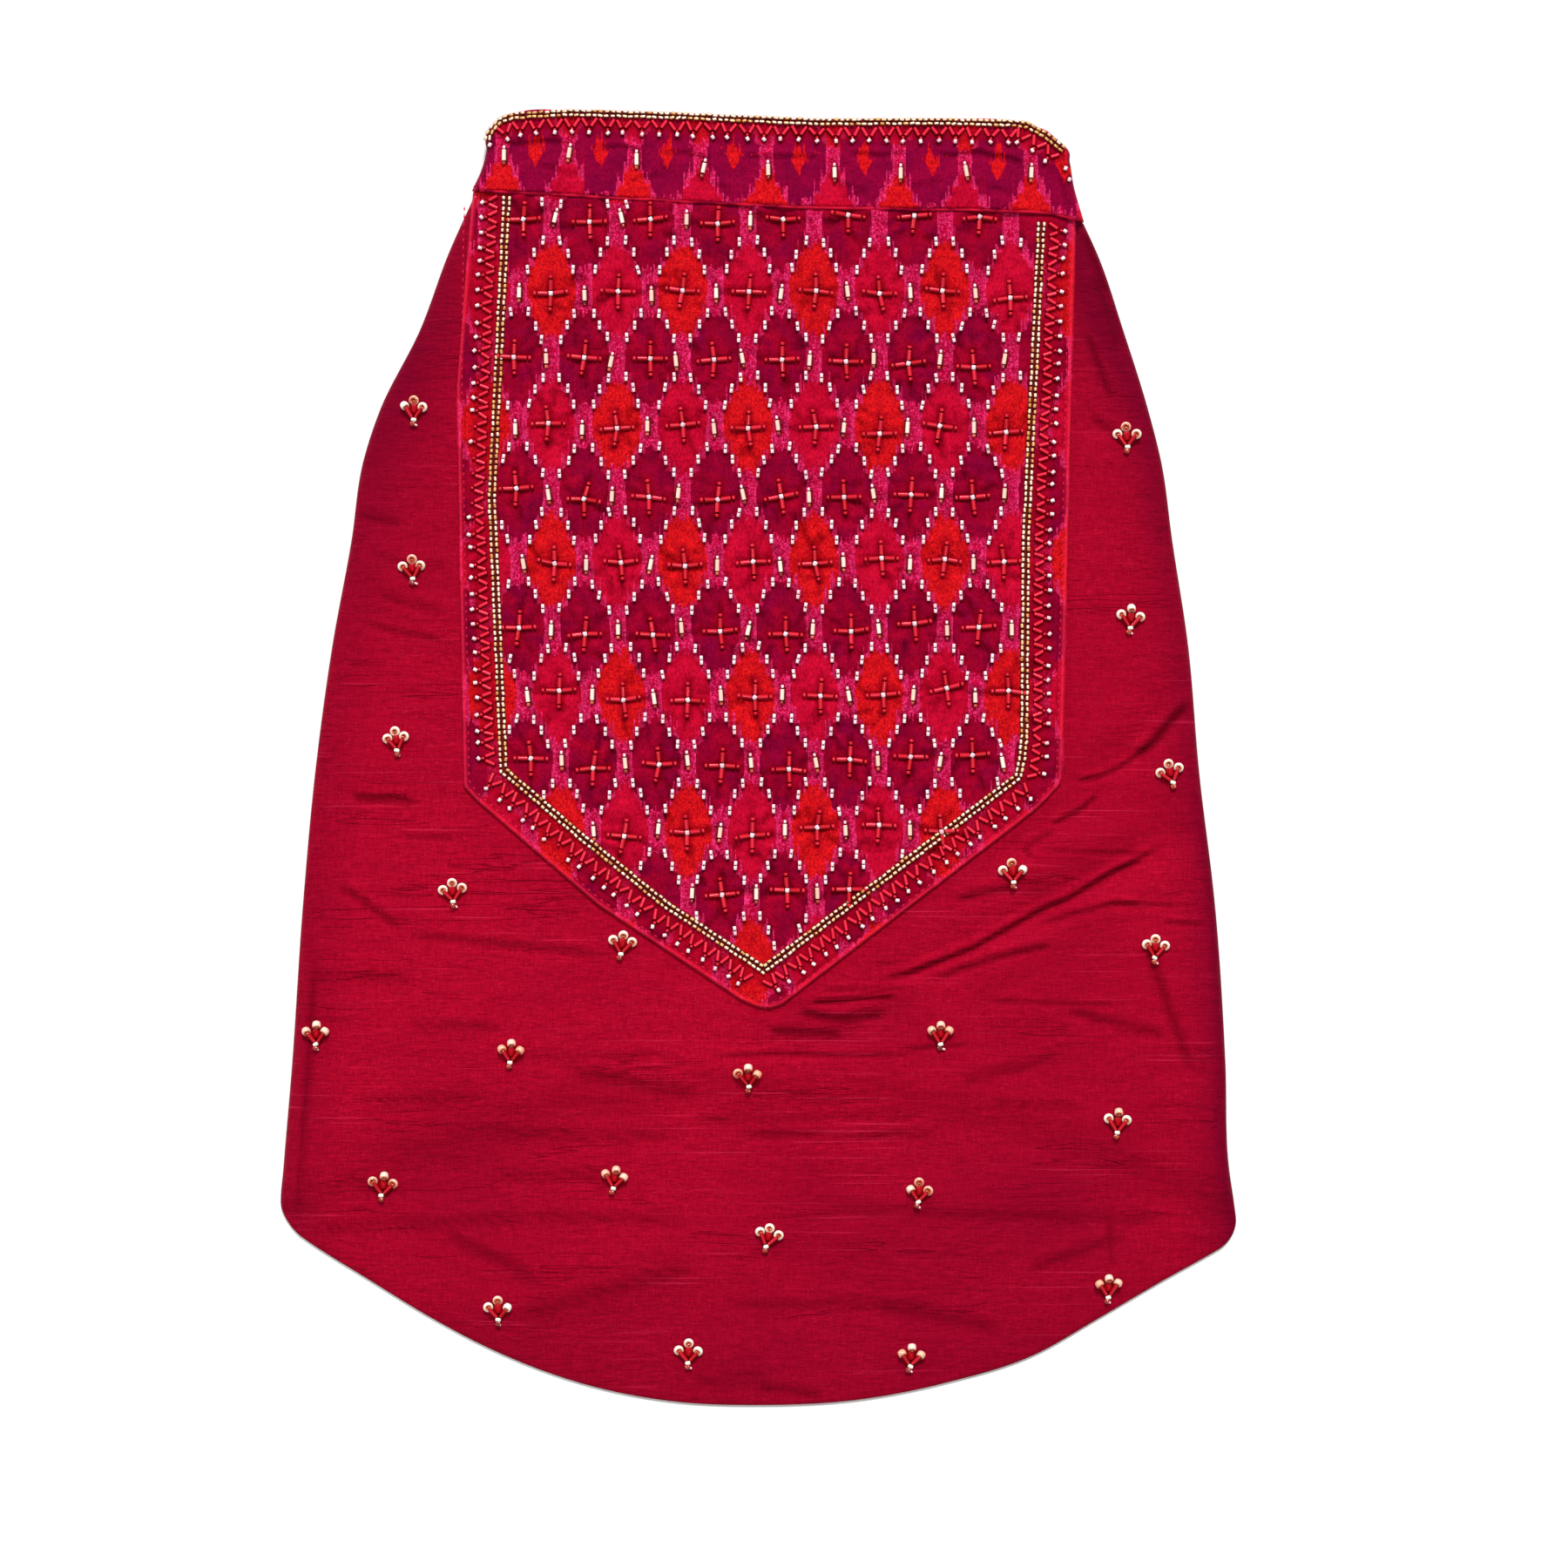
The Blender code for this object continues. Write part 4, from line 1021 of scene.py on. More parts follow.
def rib(inset, height, middle, half_width):
    """A soft rise, or a groove, that runs along the yoke's edge."""
    return height * np.exp(-((inset - middle) / half_width) ** 2)


def yoke_height(x, y):
    """Height of the yoke's outer face over the floor, lower where it goes in under the collar."""
    inset = yoke_inset(x, y)
    drawn = np.maximum(quilting(x, y) * ease(inset / 5.0), -0.50)
    drawn += rib(inset, *YOKE_RIDGE) + rib(inset, *YOKE_GROOVE)
    under_collar = ease((y - neck_seam(x) + 0.5) / 1.2)
    top = back_height(x, y) + YOKE_LIFT + drawn * (1 - under_collar) - YOKE_TUCK * under_collar
    edge = quarter_round(inset, YOKE_EDGE_ROLL)
    return top - (YOKE_LIFT - 0.15) * (1 - edge)


yoke_level = Relief(yoke_height, (-96.0, 100.0), (-80.0, 180.0))
yoke_ys = np.concatenate([
    np.arange(YOKE_ROWS_FROM, POINT_ROWS_FROM + 0.2, -YOKE_STEP),
    np.arange(POINT_ROWS_FROM, YOKE_TIP + 0.8, -POINT_STEP),
    [YOKE_TIP + 0.65, YOKE_TIP + 0.35, YOKE_TIP + 0.1, YOKE_TIP],
])
yoke_us = places_along(YOKE_SPAN, YOKE_STEP, YOKE_EDGE) / YOKE_SPAN
left, right = (np.interp(-yoke_ys, [-row[0] for row in side] + [-YOKE_TIP],
                         [row[1] for row in side] + [end])
               for side, end in zip((YOKE_LEFT, YOKE_RIGHT), YOKE_TIP_ENDS))
x = left[:, None] + yoke_us[None, :] * (right - left)[:, None]
y = np.repeat(yoke_ys[:, None], len(yoke_us), axis=1)
y = np.minimum(y, neck_seam(x) + 1.5)
yoke_ikat = ikat_finish("ikat_yoke", IKAT_COLUMN, IKAT_PITCH, IKAT_ROW, 0.0, False)
yoke_mesh = mesh_of("yoke_cloth", np.stack([x, y, yoke_height(x, y)], -1).reshape(-1, 3),
                    grid_faces(*x.shape))
yoke_x, yoke_y = x, y
# painted highlight just inside the yoke's folded edge
carry(yoke_mesh, "fold", rib(yoke_inset(x, y), *FOLD_HIGHLIGHT))
yoke = cloth_shell("yoke_cloth", yoke_mesh, yoke_ikat, YOKE_CLOTH)
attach(yoke, "root")
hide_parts("yoke_panel")

YOKE_STITCH = (1.3, 2.5, 0.42)
STITCH_INSET = 1.9
STITCH_ROUTE = (
    # x, y
    (-93.4, 172.0), (-93.8, 113.0), (-92.6, 50.0), (-91.6, -8.0), (-88.6, -12.4), (-50.0, -45.9),
    (-5.5, -75.0), (3.2, -78.6), (11.0, -74.0), (79.2, -21.2), (89.8, -12.4), (93.6, -6.0),
    (95.6, 80.0), (97.6, 163.0),
)


def along(route, pitch, offset=0.0, start=0.0):
    """Places at a pitch along a route moved to its right, with the way it runs at each."""
    route = np.array(route, dtype=float)
    ways = np.diff(route, axis=0)
    ways /= np.hypot(ways[:, 0], ways[:, 1])[:, None]
    outs = np.column_stack([ways[:, 1], -ways[:, 0]])
    moved = [route[0] + outs[0] * offset]
    for i in range(1, len(route) - 1):
        out = outs[i - 1] + outs[i]
        out /= max(1e-6, out @ outs[i])
        moved.append(route[i] + out * offset)
    moved.append(route[-1] + outs[-1] * offset)
    moved = np.array(moved)
    runs = np.hypot(*np.diff(moved, axis=0).T)
    total = np.concatenate([[0.0], np.cumsum(runs)])
    count = max(1, round((total[-1] - start) / pitch))
    at = start + (np.arange(count) + 0.5) * (total[-1] - start) / count
    places = np.column_stack([np.interp(at, total, moved[:, k]) for k in (0, 1)])
    which = np.clip(np.searchsorted(total, at) - 1, 0, len(ways) - 1)
    return places, ways[which], outs[which]


stitch_thread = Finish("crimson_thread", roughness=0.6, specular=0.1)
stitch_thread.paint((0.60, 0.0090, 0.0450))
stitches = dashes("yoke_stitches", along(STITCH_ROUTE, 0.6, -STITCH_INSET)[0], stitch_thread,
                  yoke_level, YOKE_STITCH)
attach(stitches, "root")


# Collar: a stand collar of the same ikat, folded flat, so a ring of cloth round the neck with
# its front and back lying on each other. A thin red piping covers the seam to the yoke.
COLLAR_ENDS = (
    # share of the height, left x, left y, right x, right y
    (0.0, -89.0, 175.1, 100.3, 165.4),
    (0.3, -86.2, 181.3, 97.3, 175.9),
    (0.6, -84.6, 187.3, 96.0, 183.7),
    (0.88, -84.2, 192.3, 94.2, 189.2),
    (1.0, -81.4, 196.3, 89.2, 193.5),
)
COLLAR_TOP = (
    # x, y
    (-75.5, 198.8), (-57.1, 199.7), (-24.7, 198.7), (18.5, 196.7), (55.0, 196.9), (77.9, 196.4),
)
COLLAR_TOP_EDGE = (COLLAR_ENDS[-1][1:3],) + COLLAR_TOP + (COLLAR_ENDS[-1][3:5],)
COLLAR_IKAT = (-69.3, 20.4, 185.4, 0.035)
COLLAR_AT_SEAM = 6.3
COLLAR_AT_TOP = 5.2
COLLAR_CLOTH = 0.8
COLLAR_ROWS = 32
COLLAR_COLUMNS = 185
COLLAR_FOLD_POINTS = 8
COLLAR_CREASES = (
    # half width, height, then x and y of its points
    (1.3, 0.45, ((-78.2, 189.2), (-72.2, 189.8), (-66.3, 190.4), (-58.6, 189.9))),
    (1.3, 0.40, ((-49.6, 188.3), (-43.5, 188.9), (-36.0, 187.0))),
    (1.2, 0.35, ((-30.6, 186.9), (-22.0, 186.5), (-14.5, 184.6))),
    (1.2, 0.35, ((-6.1, 186.0), (2.6, 185.4), (12.6, 185.8), (19.5, 184.8))),
    (1.2, 0.35, ((27.8, 186.6), (37.0, 186.0), (46.0, 186.9))),
    (1.3, 0.50, ((54.6, 187.2), (58.0, 185.9), (67.9, 187.2), (71.4, 185.9), (77.1, 185.2),
                 (83.3, 182.4))),
    (1.5, 0.40, ((93.0, 179.0), (94.4, 174.4), (95.7, 169.6))),
    (1.5, 0.35, ((-85.0, 186.0), (-84.6, 179.6), (-83.6, 176.6))),
    (1.4, 0.26, ((-68.0, 183.0), (-54.0, 179.6))), (1.4, 0.26, ((22.0, 178.0), (34.0, 174.6))),
    (1.4, 0.24, ((-20.0, 179.4), (-8.0, 175.0))), (1.4, 0.24, ((64.0, 178.6), (78.0, 174.2))),
    (1.3, 0.22, ((-40.0, 177.6), (-30.0, 180.6))), (1.3, 0.22, ((46.0, 176.0), (57.0, 179.0))),
)


def collar_end(k, share):
    """One of the four columns of the collar's ends, at a share of its height."""
    return through([(row[0], row[k]) for row in COLLAR_ENDS], share)


def collar_row(share, us):
    """One row of places on the collar's upper face."""
    ends = [collar_end(k, share) for k in (1, 2, 3, 4)]
    last = COLLAR_ENDS[-1]
    seam_x = NECK_LEFT[0] + us * (NECK_RIGHT[0] - NECK_LEFT[0])
    top_x = last[1] + us * (last[3] - last[1])
    seam_bow = neck_seam(seam_x) - (NECK_LEFT[1] + us * (NECK_RIGHT[1] - NECK_LEFT[1]))
    top_bow = through(COLLAR_TOP_EDGE, top_x) - (last[2] + us * (last[4] - last[2]))
    xs = ends[0] + us * (ends[2] - ends[0])
    ys = ends[1] + us * (ends[3] - ends[1]) + (1 - share) * seam_bow + share * top_bow
    return xs, ys


def collar_ring(share):
    """Points round the flattened collar at one height: over its front, then back under it."""
    us = np.linspace(0.0, 1.0, COLLAR_COLUMNS)
    xs, ys = collar_row(share, us)
    height = COLLAR_AT_SEAM + share * (COLLAR_AT_TOP - COLLAR_AT_SEAM)
    radius = height / 2
    turns = np.linspace(0.0, math.pi, COLLAR_FOLD_POINTS)
    inner = np.linspace(xs[0] + radius, xs[-1] - radius, COLLAR_COLUMNS)[1:-1]
    inner_y = np.interp(inner, xs, ys)
    wave = 0.16 * soft_noise(inner, inner_y, 13.0, 31) + 0.14 * soft_noise(inner, inner_y, 4.6, 32)
    wave += creases(COLLAR_CREASES, inner, inner_y)[0]
    ring_x = np.concatenate([inner, xs[-1] - radius + radius * np.sin(turns), inner[::-1],
                             xs[0] + radius - radius * np.sin(turns)])
    ring_z = np.concatenate([height + wave, radius + radius * np.cos(turns), 0.08 + 0 * inner,
                             radius - radius * np.cos(turns)])
    return np.column_stack([ring_x, np.interp(ring_x, xs, ys), np.maximum(ring_z, 0.05)])


rings = [collar_ring(share) for share in np.linspace(0.0, 1.0, COLLAR_ROWS)]
collar_ikat = ikat_finish("ikat_collar", *COLLAR_IKAT, True)
collar_points = np.array(rings).reshape(-1, 3)
collar_mesh = mesh_of("collar_cloth", collar_points,
                      grid_faces(COLLAR_ROWS, len(rings[0]), True)[:, ::-1])
# no painted highlight along the collar's edge
carry(collar_mesh, "fold", np.zeros(len(collar_points)))
collar = cloth_shell("collar_cloth", collar_mesh, collar_ikat, COLLAR_CLOTH)
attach(collar, "root")
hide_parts("collar_band")

PIPING_WIDE = 0.95
PIPING_LEVEL = 6.35
PIPING_PLACES = 150
PIPING_SIDES = 8
piping_x = np.linspace(NECK_LEFT[0] + 1.5, NECK_RIGHT[0] - 1.5, PIPING_PLACES)
turns = np.linspace(0.0, 2 * math.pi, PIPING_SIDES + 1)[:-1]
piping_wave = 0.25 * soft_noise(piping_x, 0 * piping_x, 9.0, 41)
piping_points = np.stack([
    np.repeat(piping_x[:, None], PIPING_SIDES, axis=1),
    (neck_seam(piping_x) + piping_wave - 0.3)[:, None] + PIPING_WIDE / 2 * np.cos(turns),
    PIPING_LEVEL + PIPING_WIDE / 2 * np.sin(turns) + 0 * piping_x[:, None],
], -1)
piping_silk = Finish("crimson_piping", roughness=0.6, specular=0.08,
                     Specular_Tint=(1.0, 0.05, 0.15, 1.0))
uneven = piping_silk.noise(piping_silk.place(), (0.16, 0.3, 0.3)).ramp(0.40, 0.60)
piping_silk.paint((0.17, 0.0008, 0.016), (uneven, (0.56, 0.0080, 0.034)))
piping_mesh = mesh_of("collar_piping", piping_points.reshape(-1, 3),
                      grid_faces(PIPING_PLACES, PIPING_SIDES, True))
piping = add_object("collar_piping", piping_mesh, piping_silk)
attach(piping, "root")


# Gold beads: two rows sewn close together round the yoke, inside its edge, and two along the
# collar's top edge. Each bead is a short pale gold tube, some are darker, and a dark strip shows
# between them: thread, and painted shade.
YOKE_CORD = (
    # x, y
    (-78.0, 173.3), (-82.6, 80.0), (-79.0, -4.1), (-56.0, -23.8), (-29.6, -45.1), (1.2, -65.6),
    (79.6, -6.2), (80.8, -1.5), (81.6, 6.5), (82.1, 67.0), (86.9, 165.2),
)
COLLAR_CORD = (
    # x, y
    (-84.1, 190.2), (-83.9, 191.4), (-83.0, 193.6), (-80.2, 196.3), (-75.5, 197.9), (-57.1, 198.8),
    (-24.7, 197.8), (18.5, 195.9), (55.0, 196.1), (77.9, 195.5), (82.5, 195.0), (88.0, 192.0),
    (94.0, 187.2),
)
# space between the two rows, pitch, width and length of a bead
YOKE_ROWS = (1.62, 1.70, 1.12, 1.26)
COLLAR_ROWS_OF_GOLD = (1.34, 1.85, 1.04, 1.48)
# shares of a row's length between which more beads are dark
YOKE_DARKER = ((0.08, 0.16), (0.86, 0.90))
COLLAR_DARKER = ((0.05, 0.12), (0.9, 1.0))
DARK_ANYWHERE = 0.14
DARK_IN_DARKER = 0.6
YOKE_THREAD_HALF = 1.30
COLLAR_THREAD_HALF = 1.10
STRIP_LANES = 7
STRIP_EDGE_RISE = 0.03
STRIP_RISE = 0.22
# radius and height of each ring of a bead of unit size
SEED_PROFILE = ((0.20, -0.42), (0.40, -0.50), (0.50, -0.30), (0.50, 0.30), (0.40, 0.50),
                (0.20, 0.42))


def turned_bead(profile, sides):
    """A bead of unit size round the z axis: its points and faces, with a hole through it."""
    turns = 2 * math.pi * np.arange(sides) / sides
    points = [(r * math.cos(a), r * math.sin(a), z) for r, z in profile for a in turns]
    faces = []
    for i in range(len(profile)):
        j = (i + 1) % len(profile)
        for k in range(sides):
            n = (k + 1) % sides
            faces.append((i * sides + k, i * sides + n, j * sides + n, j * sides + k))
    return np.array(points), np.array(faces)


class Beads:
    """Beads of one kind, gathered and made as one mesh: place, way, width, length and tint."""

    def __init__(self, profile, sides=8, tones=None):
        self.points, self.faces = turned_bead(profile, sides)
        self.tones = np.repeat(tones or [0.0] * len(profile), sides)
        self.rows = []

    def add(self, place, way, wide, long, tint=0.5):
        self.rows.append((*place, *way, wide, long, tint))

    def made(self, name, finish, slot, node=None):
        """All of them as one piece on the garment, and the solid that it stands for."""
        rows = np.array(self.rows)
        centre, way = rows[:, 0:3], rows[:, 3:6]
        way = way / np.linalg.norm(way, axis=1)[:, None]
        helper = np.where(np.abs(way[:, 2:3]) > 0.9, [[1.0, 0.0, 0.0]], [[0.0, 0.0, 1.0]])
        side = np.cross(helper, way)
        side /= np.linalg.norm(side, axis=1)[:, None]
        up = np.cross(way, side)
        wide, long = rows[:, 6, None, None], rows[:, 7, None, None]
        local = self.points[None]
        placed = (centre[:, None] + side[:, None] * local[..., 0:1] * wide
                  + up[:, None] * local[..., 1:2] * wide + way[:, None] * local[..., 2:3] * long)
        first = np.arange(len(rows))[:, None, None] * len(self.points)
        mesh = mesh_of(name, placed.reshape(-1, 3), (self.faces[None] + first).reshape(-1, 4))
        carry(mesh, "tint", np.clip(rows[:, 8, None] + self.tones, 0.0, 1.0))
        # how far each point faces up, which finishes use for painted shade, highlights and
        # reflections
        carry(mesh, "up", 2.0 * (side[:, None, 2] * local[..., 0] + up[:, None, 2] * local[..., 1]))
        piece = add_object(name, mesh, finish)
        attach(piece, "root")
        if node:
            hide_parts(node)


def collar_height(x, y):
    """Height of the collar's upper face at places on it."""
    seam = neck_seam(np.clip(x, NECK_LEFT[0], NECK_RIGHT[0]))
    top = through(COLLAR_TOP_EDGE, x)
    share = np.clip((y - seam) / (top - seam), 0.0, 1.0)
    height = COLLAR_AT_SEAM + share * (COLLAR_AT_TOP - COLLAR_AT_SEAM)
    inset = np.clip(np.minimum(x - collar_end(1, share), collar_end(3, share) - x), 0.0, None)
    radius = height / 2
    return radius + radius * quarter_round(inset, radius)


def gold_rows(beads, route, level, sizes, darker):
    """Two rows of beads along a route, with more dark ones in some stretches of it."""
    space, pitch, wide, long = sizes
    for offset in (-space / 2, space / 2):
        places, ways, outs = along(route, pitch, offset)
        places = places + ways * rng.uniform(-0.14, 0.14, (len(places), 1))
        places += outs * rng.normal(0.0, 0.07, (len(places), 1))
        level_at = level(places[:, 0], places[:, 1])
        share = np.arange(len(places)) / len(places)
        for k, (place, way) in enumerate(zip(places, ways)):
            tint = rng.uniform(0.55, 1.0)
            if rng.random() < DARK_ANYWHERE:
                tint = rng.uniform(0.05, 0.45)
            for low, high in darker:
                if low < share[k] < high and rng.random() < DARK_IN_DARKER:
                    tint = rng.uniform(0.1, 0.4)
            turn = rng.normal(0.0, 0.14)
            lie = (way[0] - way[1] * turn, way[1] + way[0] * turn, rng.uniform(-0.08, 0.08))
            beads.add((place[0], place[1], level_at[k] + wide / 2 + 0.14), lie,
                      wide * rng.uniform(0.90, 1.10), long * rng.uniform(0.82, 1.14), tint)


def thread_strip(route, level, half_width):
    """Points and faces of a low rounded strip along a route, under its beads: thread and painted
    shade.
    """
    lanes = []
    for lane in np.linspace(-1.0, 1.0, STRIP_LANES):
        places = along(route, 1.0, lane * half_width)[0]
        rise = STRIP_EDGE_RISE + STRIP_RISE * math.sqrt(max(0.0, 1.0 - lane ** 4))
        lanes.append(np.column_stack([places, level(places[:, 0], places[:, 1]) + rise]))
    count = min(len(places) for places in lanes)
    grid = np.array([places[np.round(np.linspace(0, len(places) - 1, count)).astype(int)]
                     for places in lanes])
    return grid.reshape(-1, 3), grid_faces(len(lanes), count)


gold = Finish("pale_gold_beads", roughness=0.28, specular=0.6, metallic=0.20, Coat_Weight=0.3)
tint = gold.carried("tint")
faces_up = gold.carried("up")
gold.paint((0.50, 0.165, 0.024), (tint.ramp(0.0, 0.5), (0.98, 0.66, 0.24)),
           (tint.ramp(0.5, 0.8), (1.0, 0.93, 0.74)),
           # painted shade: darker orange, then brown, down the beads' sides, leaving bright tops
           (faces_up.ramp(0.92, 0.62), (0.62, 0.150, 0.030)),
           (faces_up.ramp(0.66, 0.34), (0.140, 0.0080, 0.0040)))

yoke_gold = Beads(SEED_PROFILE)
gold_rows(yoke_gold, YOKE_CORD, yoke_level, YOKE_ROWS, YOKE_DARKER)
yoke_gold.made("yoke_gold_beads", gold, "gold_beads", "yoke_bead_cord")
collar_gold = Beads(SEED_PROFILE)
gold_rows(collar_gold, COLLAR_CORD, collar_height, COLLAR_ROWS_OF_GOLD, COLLAR_DARKER)
collar_gold.made("collar_gold_beads", gold, "gold_beads", "collar_bead_cord")

# dark brown thread, which also stands for painted shade under the gold rows and beside the cream
# bugles
dark_thread = Finish("dark_brown_thread_and_shade", roughness=0.7, specular=0.1)
dark_thread.paint((0.125, 0.0030, 0.0030))
yoke_strip, yoke_faces = thread_strip(YOKE_CORD, yoke_level, YOKE_THREAD_HALF)
collar_strip, collar_faces = thread_strip(COLLAR_CORD, collar_height, COLLAR_THREAD_HALF)
strip_faces = np.concatenate([yoke_faces, collar_faces + len(yoke_strip)])[:, ::-1]
strip_mesh = mesh_of("gold_row_threads_and_shade", np.concatenate([yoke_strip, collar_strip]), strip_faces)
row_threads = add_object("gold_row_threads_and_shade", strip_mesh, dark_thread)
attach(row_threads, "root")


# Bead border: outside the gold rows a zigzag of red bugles on beds of dark red thread and painted
# shadow, a red seed at each point and a white one beyond it. The same border hangs from the
# collar's gold rows.
BUGLE_PROFILE = ((0.26, -0.485), (0.42, -0.50), (0.50, -0.475), (0.50, -0.44), (0.50, 0.44),
                 (0.50, 0.475), (0.42, 0.50), (0.26, 0.485))
TUBE_PROFILE = ((0.26, -0.485), (0.42, -0.50), (0.50, -0.45), (0.50, 0.45), (0.42, 0.50),
                (0.26, 0.485))
THREAD_PROFILE = ((0.30, -0.50), (0.50, -0.46), (0.50, 0.46), (0.30, 0.50))
BUGLE_WIDE = 1.05
BUGLE_LONG = 3.0
# the bed of thread and painted shadow under each bugle
BED_MARGIN = 0.75
BED_DEPTH = 0.9
BED_LONG = 0.5
# pitch, row offset, then how far out its feet, points, red seeds and white seeds lie
YOKE_BORDER = (4.65, 1.0, 1.7, 4.45, 5.15, 6.4)
COLLAR_BORDER = (5.40, 0.8, 1.0, 3.35, 4.30, 5.15)
COLLAR_BORDER_ROUTE = ((-82.0, 194.9),) + COLLAR_CORD[3:]
DIAGONAL_STRETCH = 1.08
WHITE_SEEDS_MISSING = (15, 17, 18, 19, 20, 44)
RED_SEED = (1.0, 0.9)
WHITE_SEED = (1.15, 1.20)
HALF_GAP_AT_FEET = 0.45
HALF_GAP_AT_POINTS = 0.6
# how far the hand strays from the even border
STRAY_ALONG = 0.45
STRAY_FEET = 0.3
STRAY_POINTS = 0.35
STRAY_RED = 0.15
STRAY_WHITE = 0.25

red_glass = Finish("red_glass_beads", roughness=0.20, specular=0.45,
                   Specular_Tint=(1.0, 0.30, 0.40, 1.0), Coat_Weight=0.08, Coat_Roughness=0.15)
faces_up = red_glass.carried("up")
red_glass.paint((0.44, 0.0018, 0.0060), (red_glass.carried("tint"), (0.84, 0.0170, 0.0520)),
                # painted highlight along each bead's top
                (faces_up.ramp(0.84, 1.0, 0.0, 0.45), (1.0, 0.085, 0.135)),
                # painted shade on the lower sides
                (faces_up.ramp(0.40, -0.2, 0.0, 0.75), (0.190, 0.0008, 0.0030)))
white_glass = Finish("white_glass_beads", roughness=0.30, specular=0.5, Coat_Weight=0.2)
white_glass.paint((1.0, 0.57, 0.63),
                  (white_glass.carried("tint").ramp(0.0, 0.5), (1.0, 0.81, 0.85)),
                  # painted reflection: the cloth's red on the beads' lower sides
                  (white_glass.carried("up").ramp(0.70, 0.10, 0.0, 0.80), (1.0, 0.25, 0.36)))
# dark red thread, which also stands for painted shadow under the bugles and sprigs
red_thread = Finish("dark_red_thread_and_shadow", roughness=0.8, specular=0.05)
red_thread.paint((0.215, 0.0006, 0.0034))

border_bugles = Beads(BUGLE_PROFILE)
red_seeds = Beads(SEED_PROFILE)
white_tubes = Beads(TUBE_PROFILE)
red_threads_and_shadows = Beads(THREAD_PROFILE, 7)


def over(level, spot, rise):
    """A place at a rise over a cloth's face."""
    return spot[0], spot[1], level(spot[0], spot[1]) + rise


def lying(level, start, end, wide):
    """Middle, way and length of a bugle that lies on the cloth between two places."""
    xs, ys = np.array([start[0], end[0]]), np.array([start[1], end[1]])
    zs = level(xs, ys) + wide / 2 - 0.05
    middle = (xs.mean(), ys.mean(), max(zs.mean(), level(xs.mean(), ys.mean()) + wide / 2 - 0.1))
    way = (xs[1] - xs[0], ys[1] - ys[0], zs[1] - zs[0])
    return middle, way, math.sqrt(sum(w * w for w in way))


def add_bugle(bugles, middle, lie, wide, long, tint):
    """A red bugle on its bed: dark red sewing thread, and painted shadow round it."""
    bugles.add(middle, lie, wide, long, tint)
    red_threads_and_shadows.add((middle[0] + 0.05, middle[1] - 0.12, middle[2] - BED_DEPTH * wide), lie,
                    wide + BED_MARGIN, long + BED_LONG)


def stray(most):
    """A small random shift to either side."""
    return rng.uniform(-most, most)


def border(route, level, sizes, missing=()):
    """Zigzag and seeds outside gold rows, without the white seeds that are missing."""
    pitch, rows_out, feet, points, red_out, white_out = sizes
    places, ways, outs = along(route, pitch, rows_out)
    for k, (place, way, out) in enumerate(zip(places, ways, outs)):
        reach = DIAGONAL_STRETCH if abs(way[0]) > 0.5 and abs(way[1]) > 0.3 else 1.0
        swing = stray(STRAY_ALONG)
        tip = place + out * (points * reach + stray(STRAY_POINTS)) + way * swing
        for hand in (-1, 1):
            foot = place + way * hand * (pitch / 2 - HALF_GAP_AT_FEET)
            foot = foot + out * (feet + stray(STRAY_FEET))
            point = tip + way * hand * HALF_GAP_AT_POINTS
            middle, lie, long = lying(level, foot, point, BUGLE_WIDE)
            add_bugle(border_bugles, middle, lie, BUGLE_WIDE, min(long, BUGLE_LONG * reach),
                      rng.uniform(0.6, 1.0))
        seed = place + out * (red_out * reach + stray(STRAY_RED)) + way * swing
        red_seeds.add(over(level, seed, 0.5), (*out, 0.1), *RED_SEED, 0.4 * rng.random())
        if k in missing:
            continue
        seed = place + out * (white_out * reach + stray(STRAY_WHITE)) + way * (swing * 1.3)
        turn = rng.uniform(-0.9, 0.9)
        lie = (out[0] * math.cos(turn) - out[1] * math.sin(turn),
               out[1] * math.cos(turn) + out[0] * math.sin(turn), rng.uniform(-0.2, 0.3))
        white_tubes.add(over(level, seed, 0.6), lie, *WHITE_SEED, rng.random())


border(YOKE_CORD, yoke_level, YOKE_BORDER, WHITE_SEEDS_MISSING)
border(COLLAR_BORDER_ROUTE, collar_height, COLLAR_BORDER)
border_bugles.made("border_bugles", red_glass, "red_beads")


# Crosses: a white seed in the middle of each diamond with four red bugles and a red seed at
# each end, a little askew, as they are sewn by hand.
CROSS_ARM = 3.05
CROSS_START = 1.05
CROSS_WIDE = 1.50
CROSS_END_SEED = (1.55, 1.0)
CROSS_MIDDLE_SEED = (1.50, 1.40)
SEED_PAST_ARM = 0.85
CLEAR_OF_COLLAR = 0.8
CROSS_ASKEW = 0.05
ARM_ASKEW = 0.08

red_bugles = Beads(BUGLE_PROFILE)
white_seeds = Beads(SEED_PROFILE)
for centre in cross_spots:
    turn = rng.normal(0.0, CROSS_ASKEW)
    for quarter in range(4):
        a = quarter * math.pi / 2 + turn + rng.normal(0.0, ARM_ASKEW)
        way = np.array([math.cos(a), math.sin(a)])
        start = centre + way * CROSS_START
        end = start + way * CROSS_ARM
        if end[1] > neck_seam(end[0]) - CLEAR_OF_COLLAR:
            continue
        middle, lie, long = lying(yoke_level, start, end, CROSS_WIDE)
        add_bugle(red_bugles, middle, lie, CROSS_WIDE, CROSS_ARM, rng.uniform(0.0, 0.45))
        seed = centre + way * (CROSS_START + CROSS_ARM + SEED_PAST_ARM)
        red_seeds.add(over(yoke_level, seed, 0.55), (*way, 0.0), *CROSS_END_SEED,
                      0.4 * rng.random())
    white_seeds.add(over(yoke_level, centre, 1.1), (rng.normal(0, 0.4), 1.0, 0.3),
                    *CROSS_MIDDLE_SEED, rng.random())
red_seeds.made("red_seeds", red_glass, "red_beads")


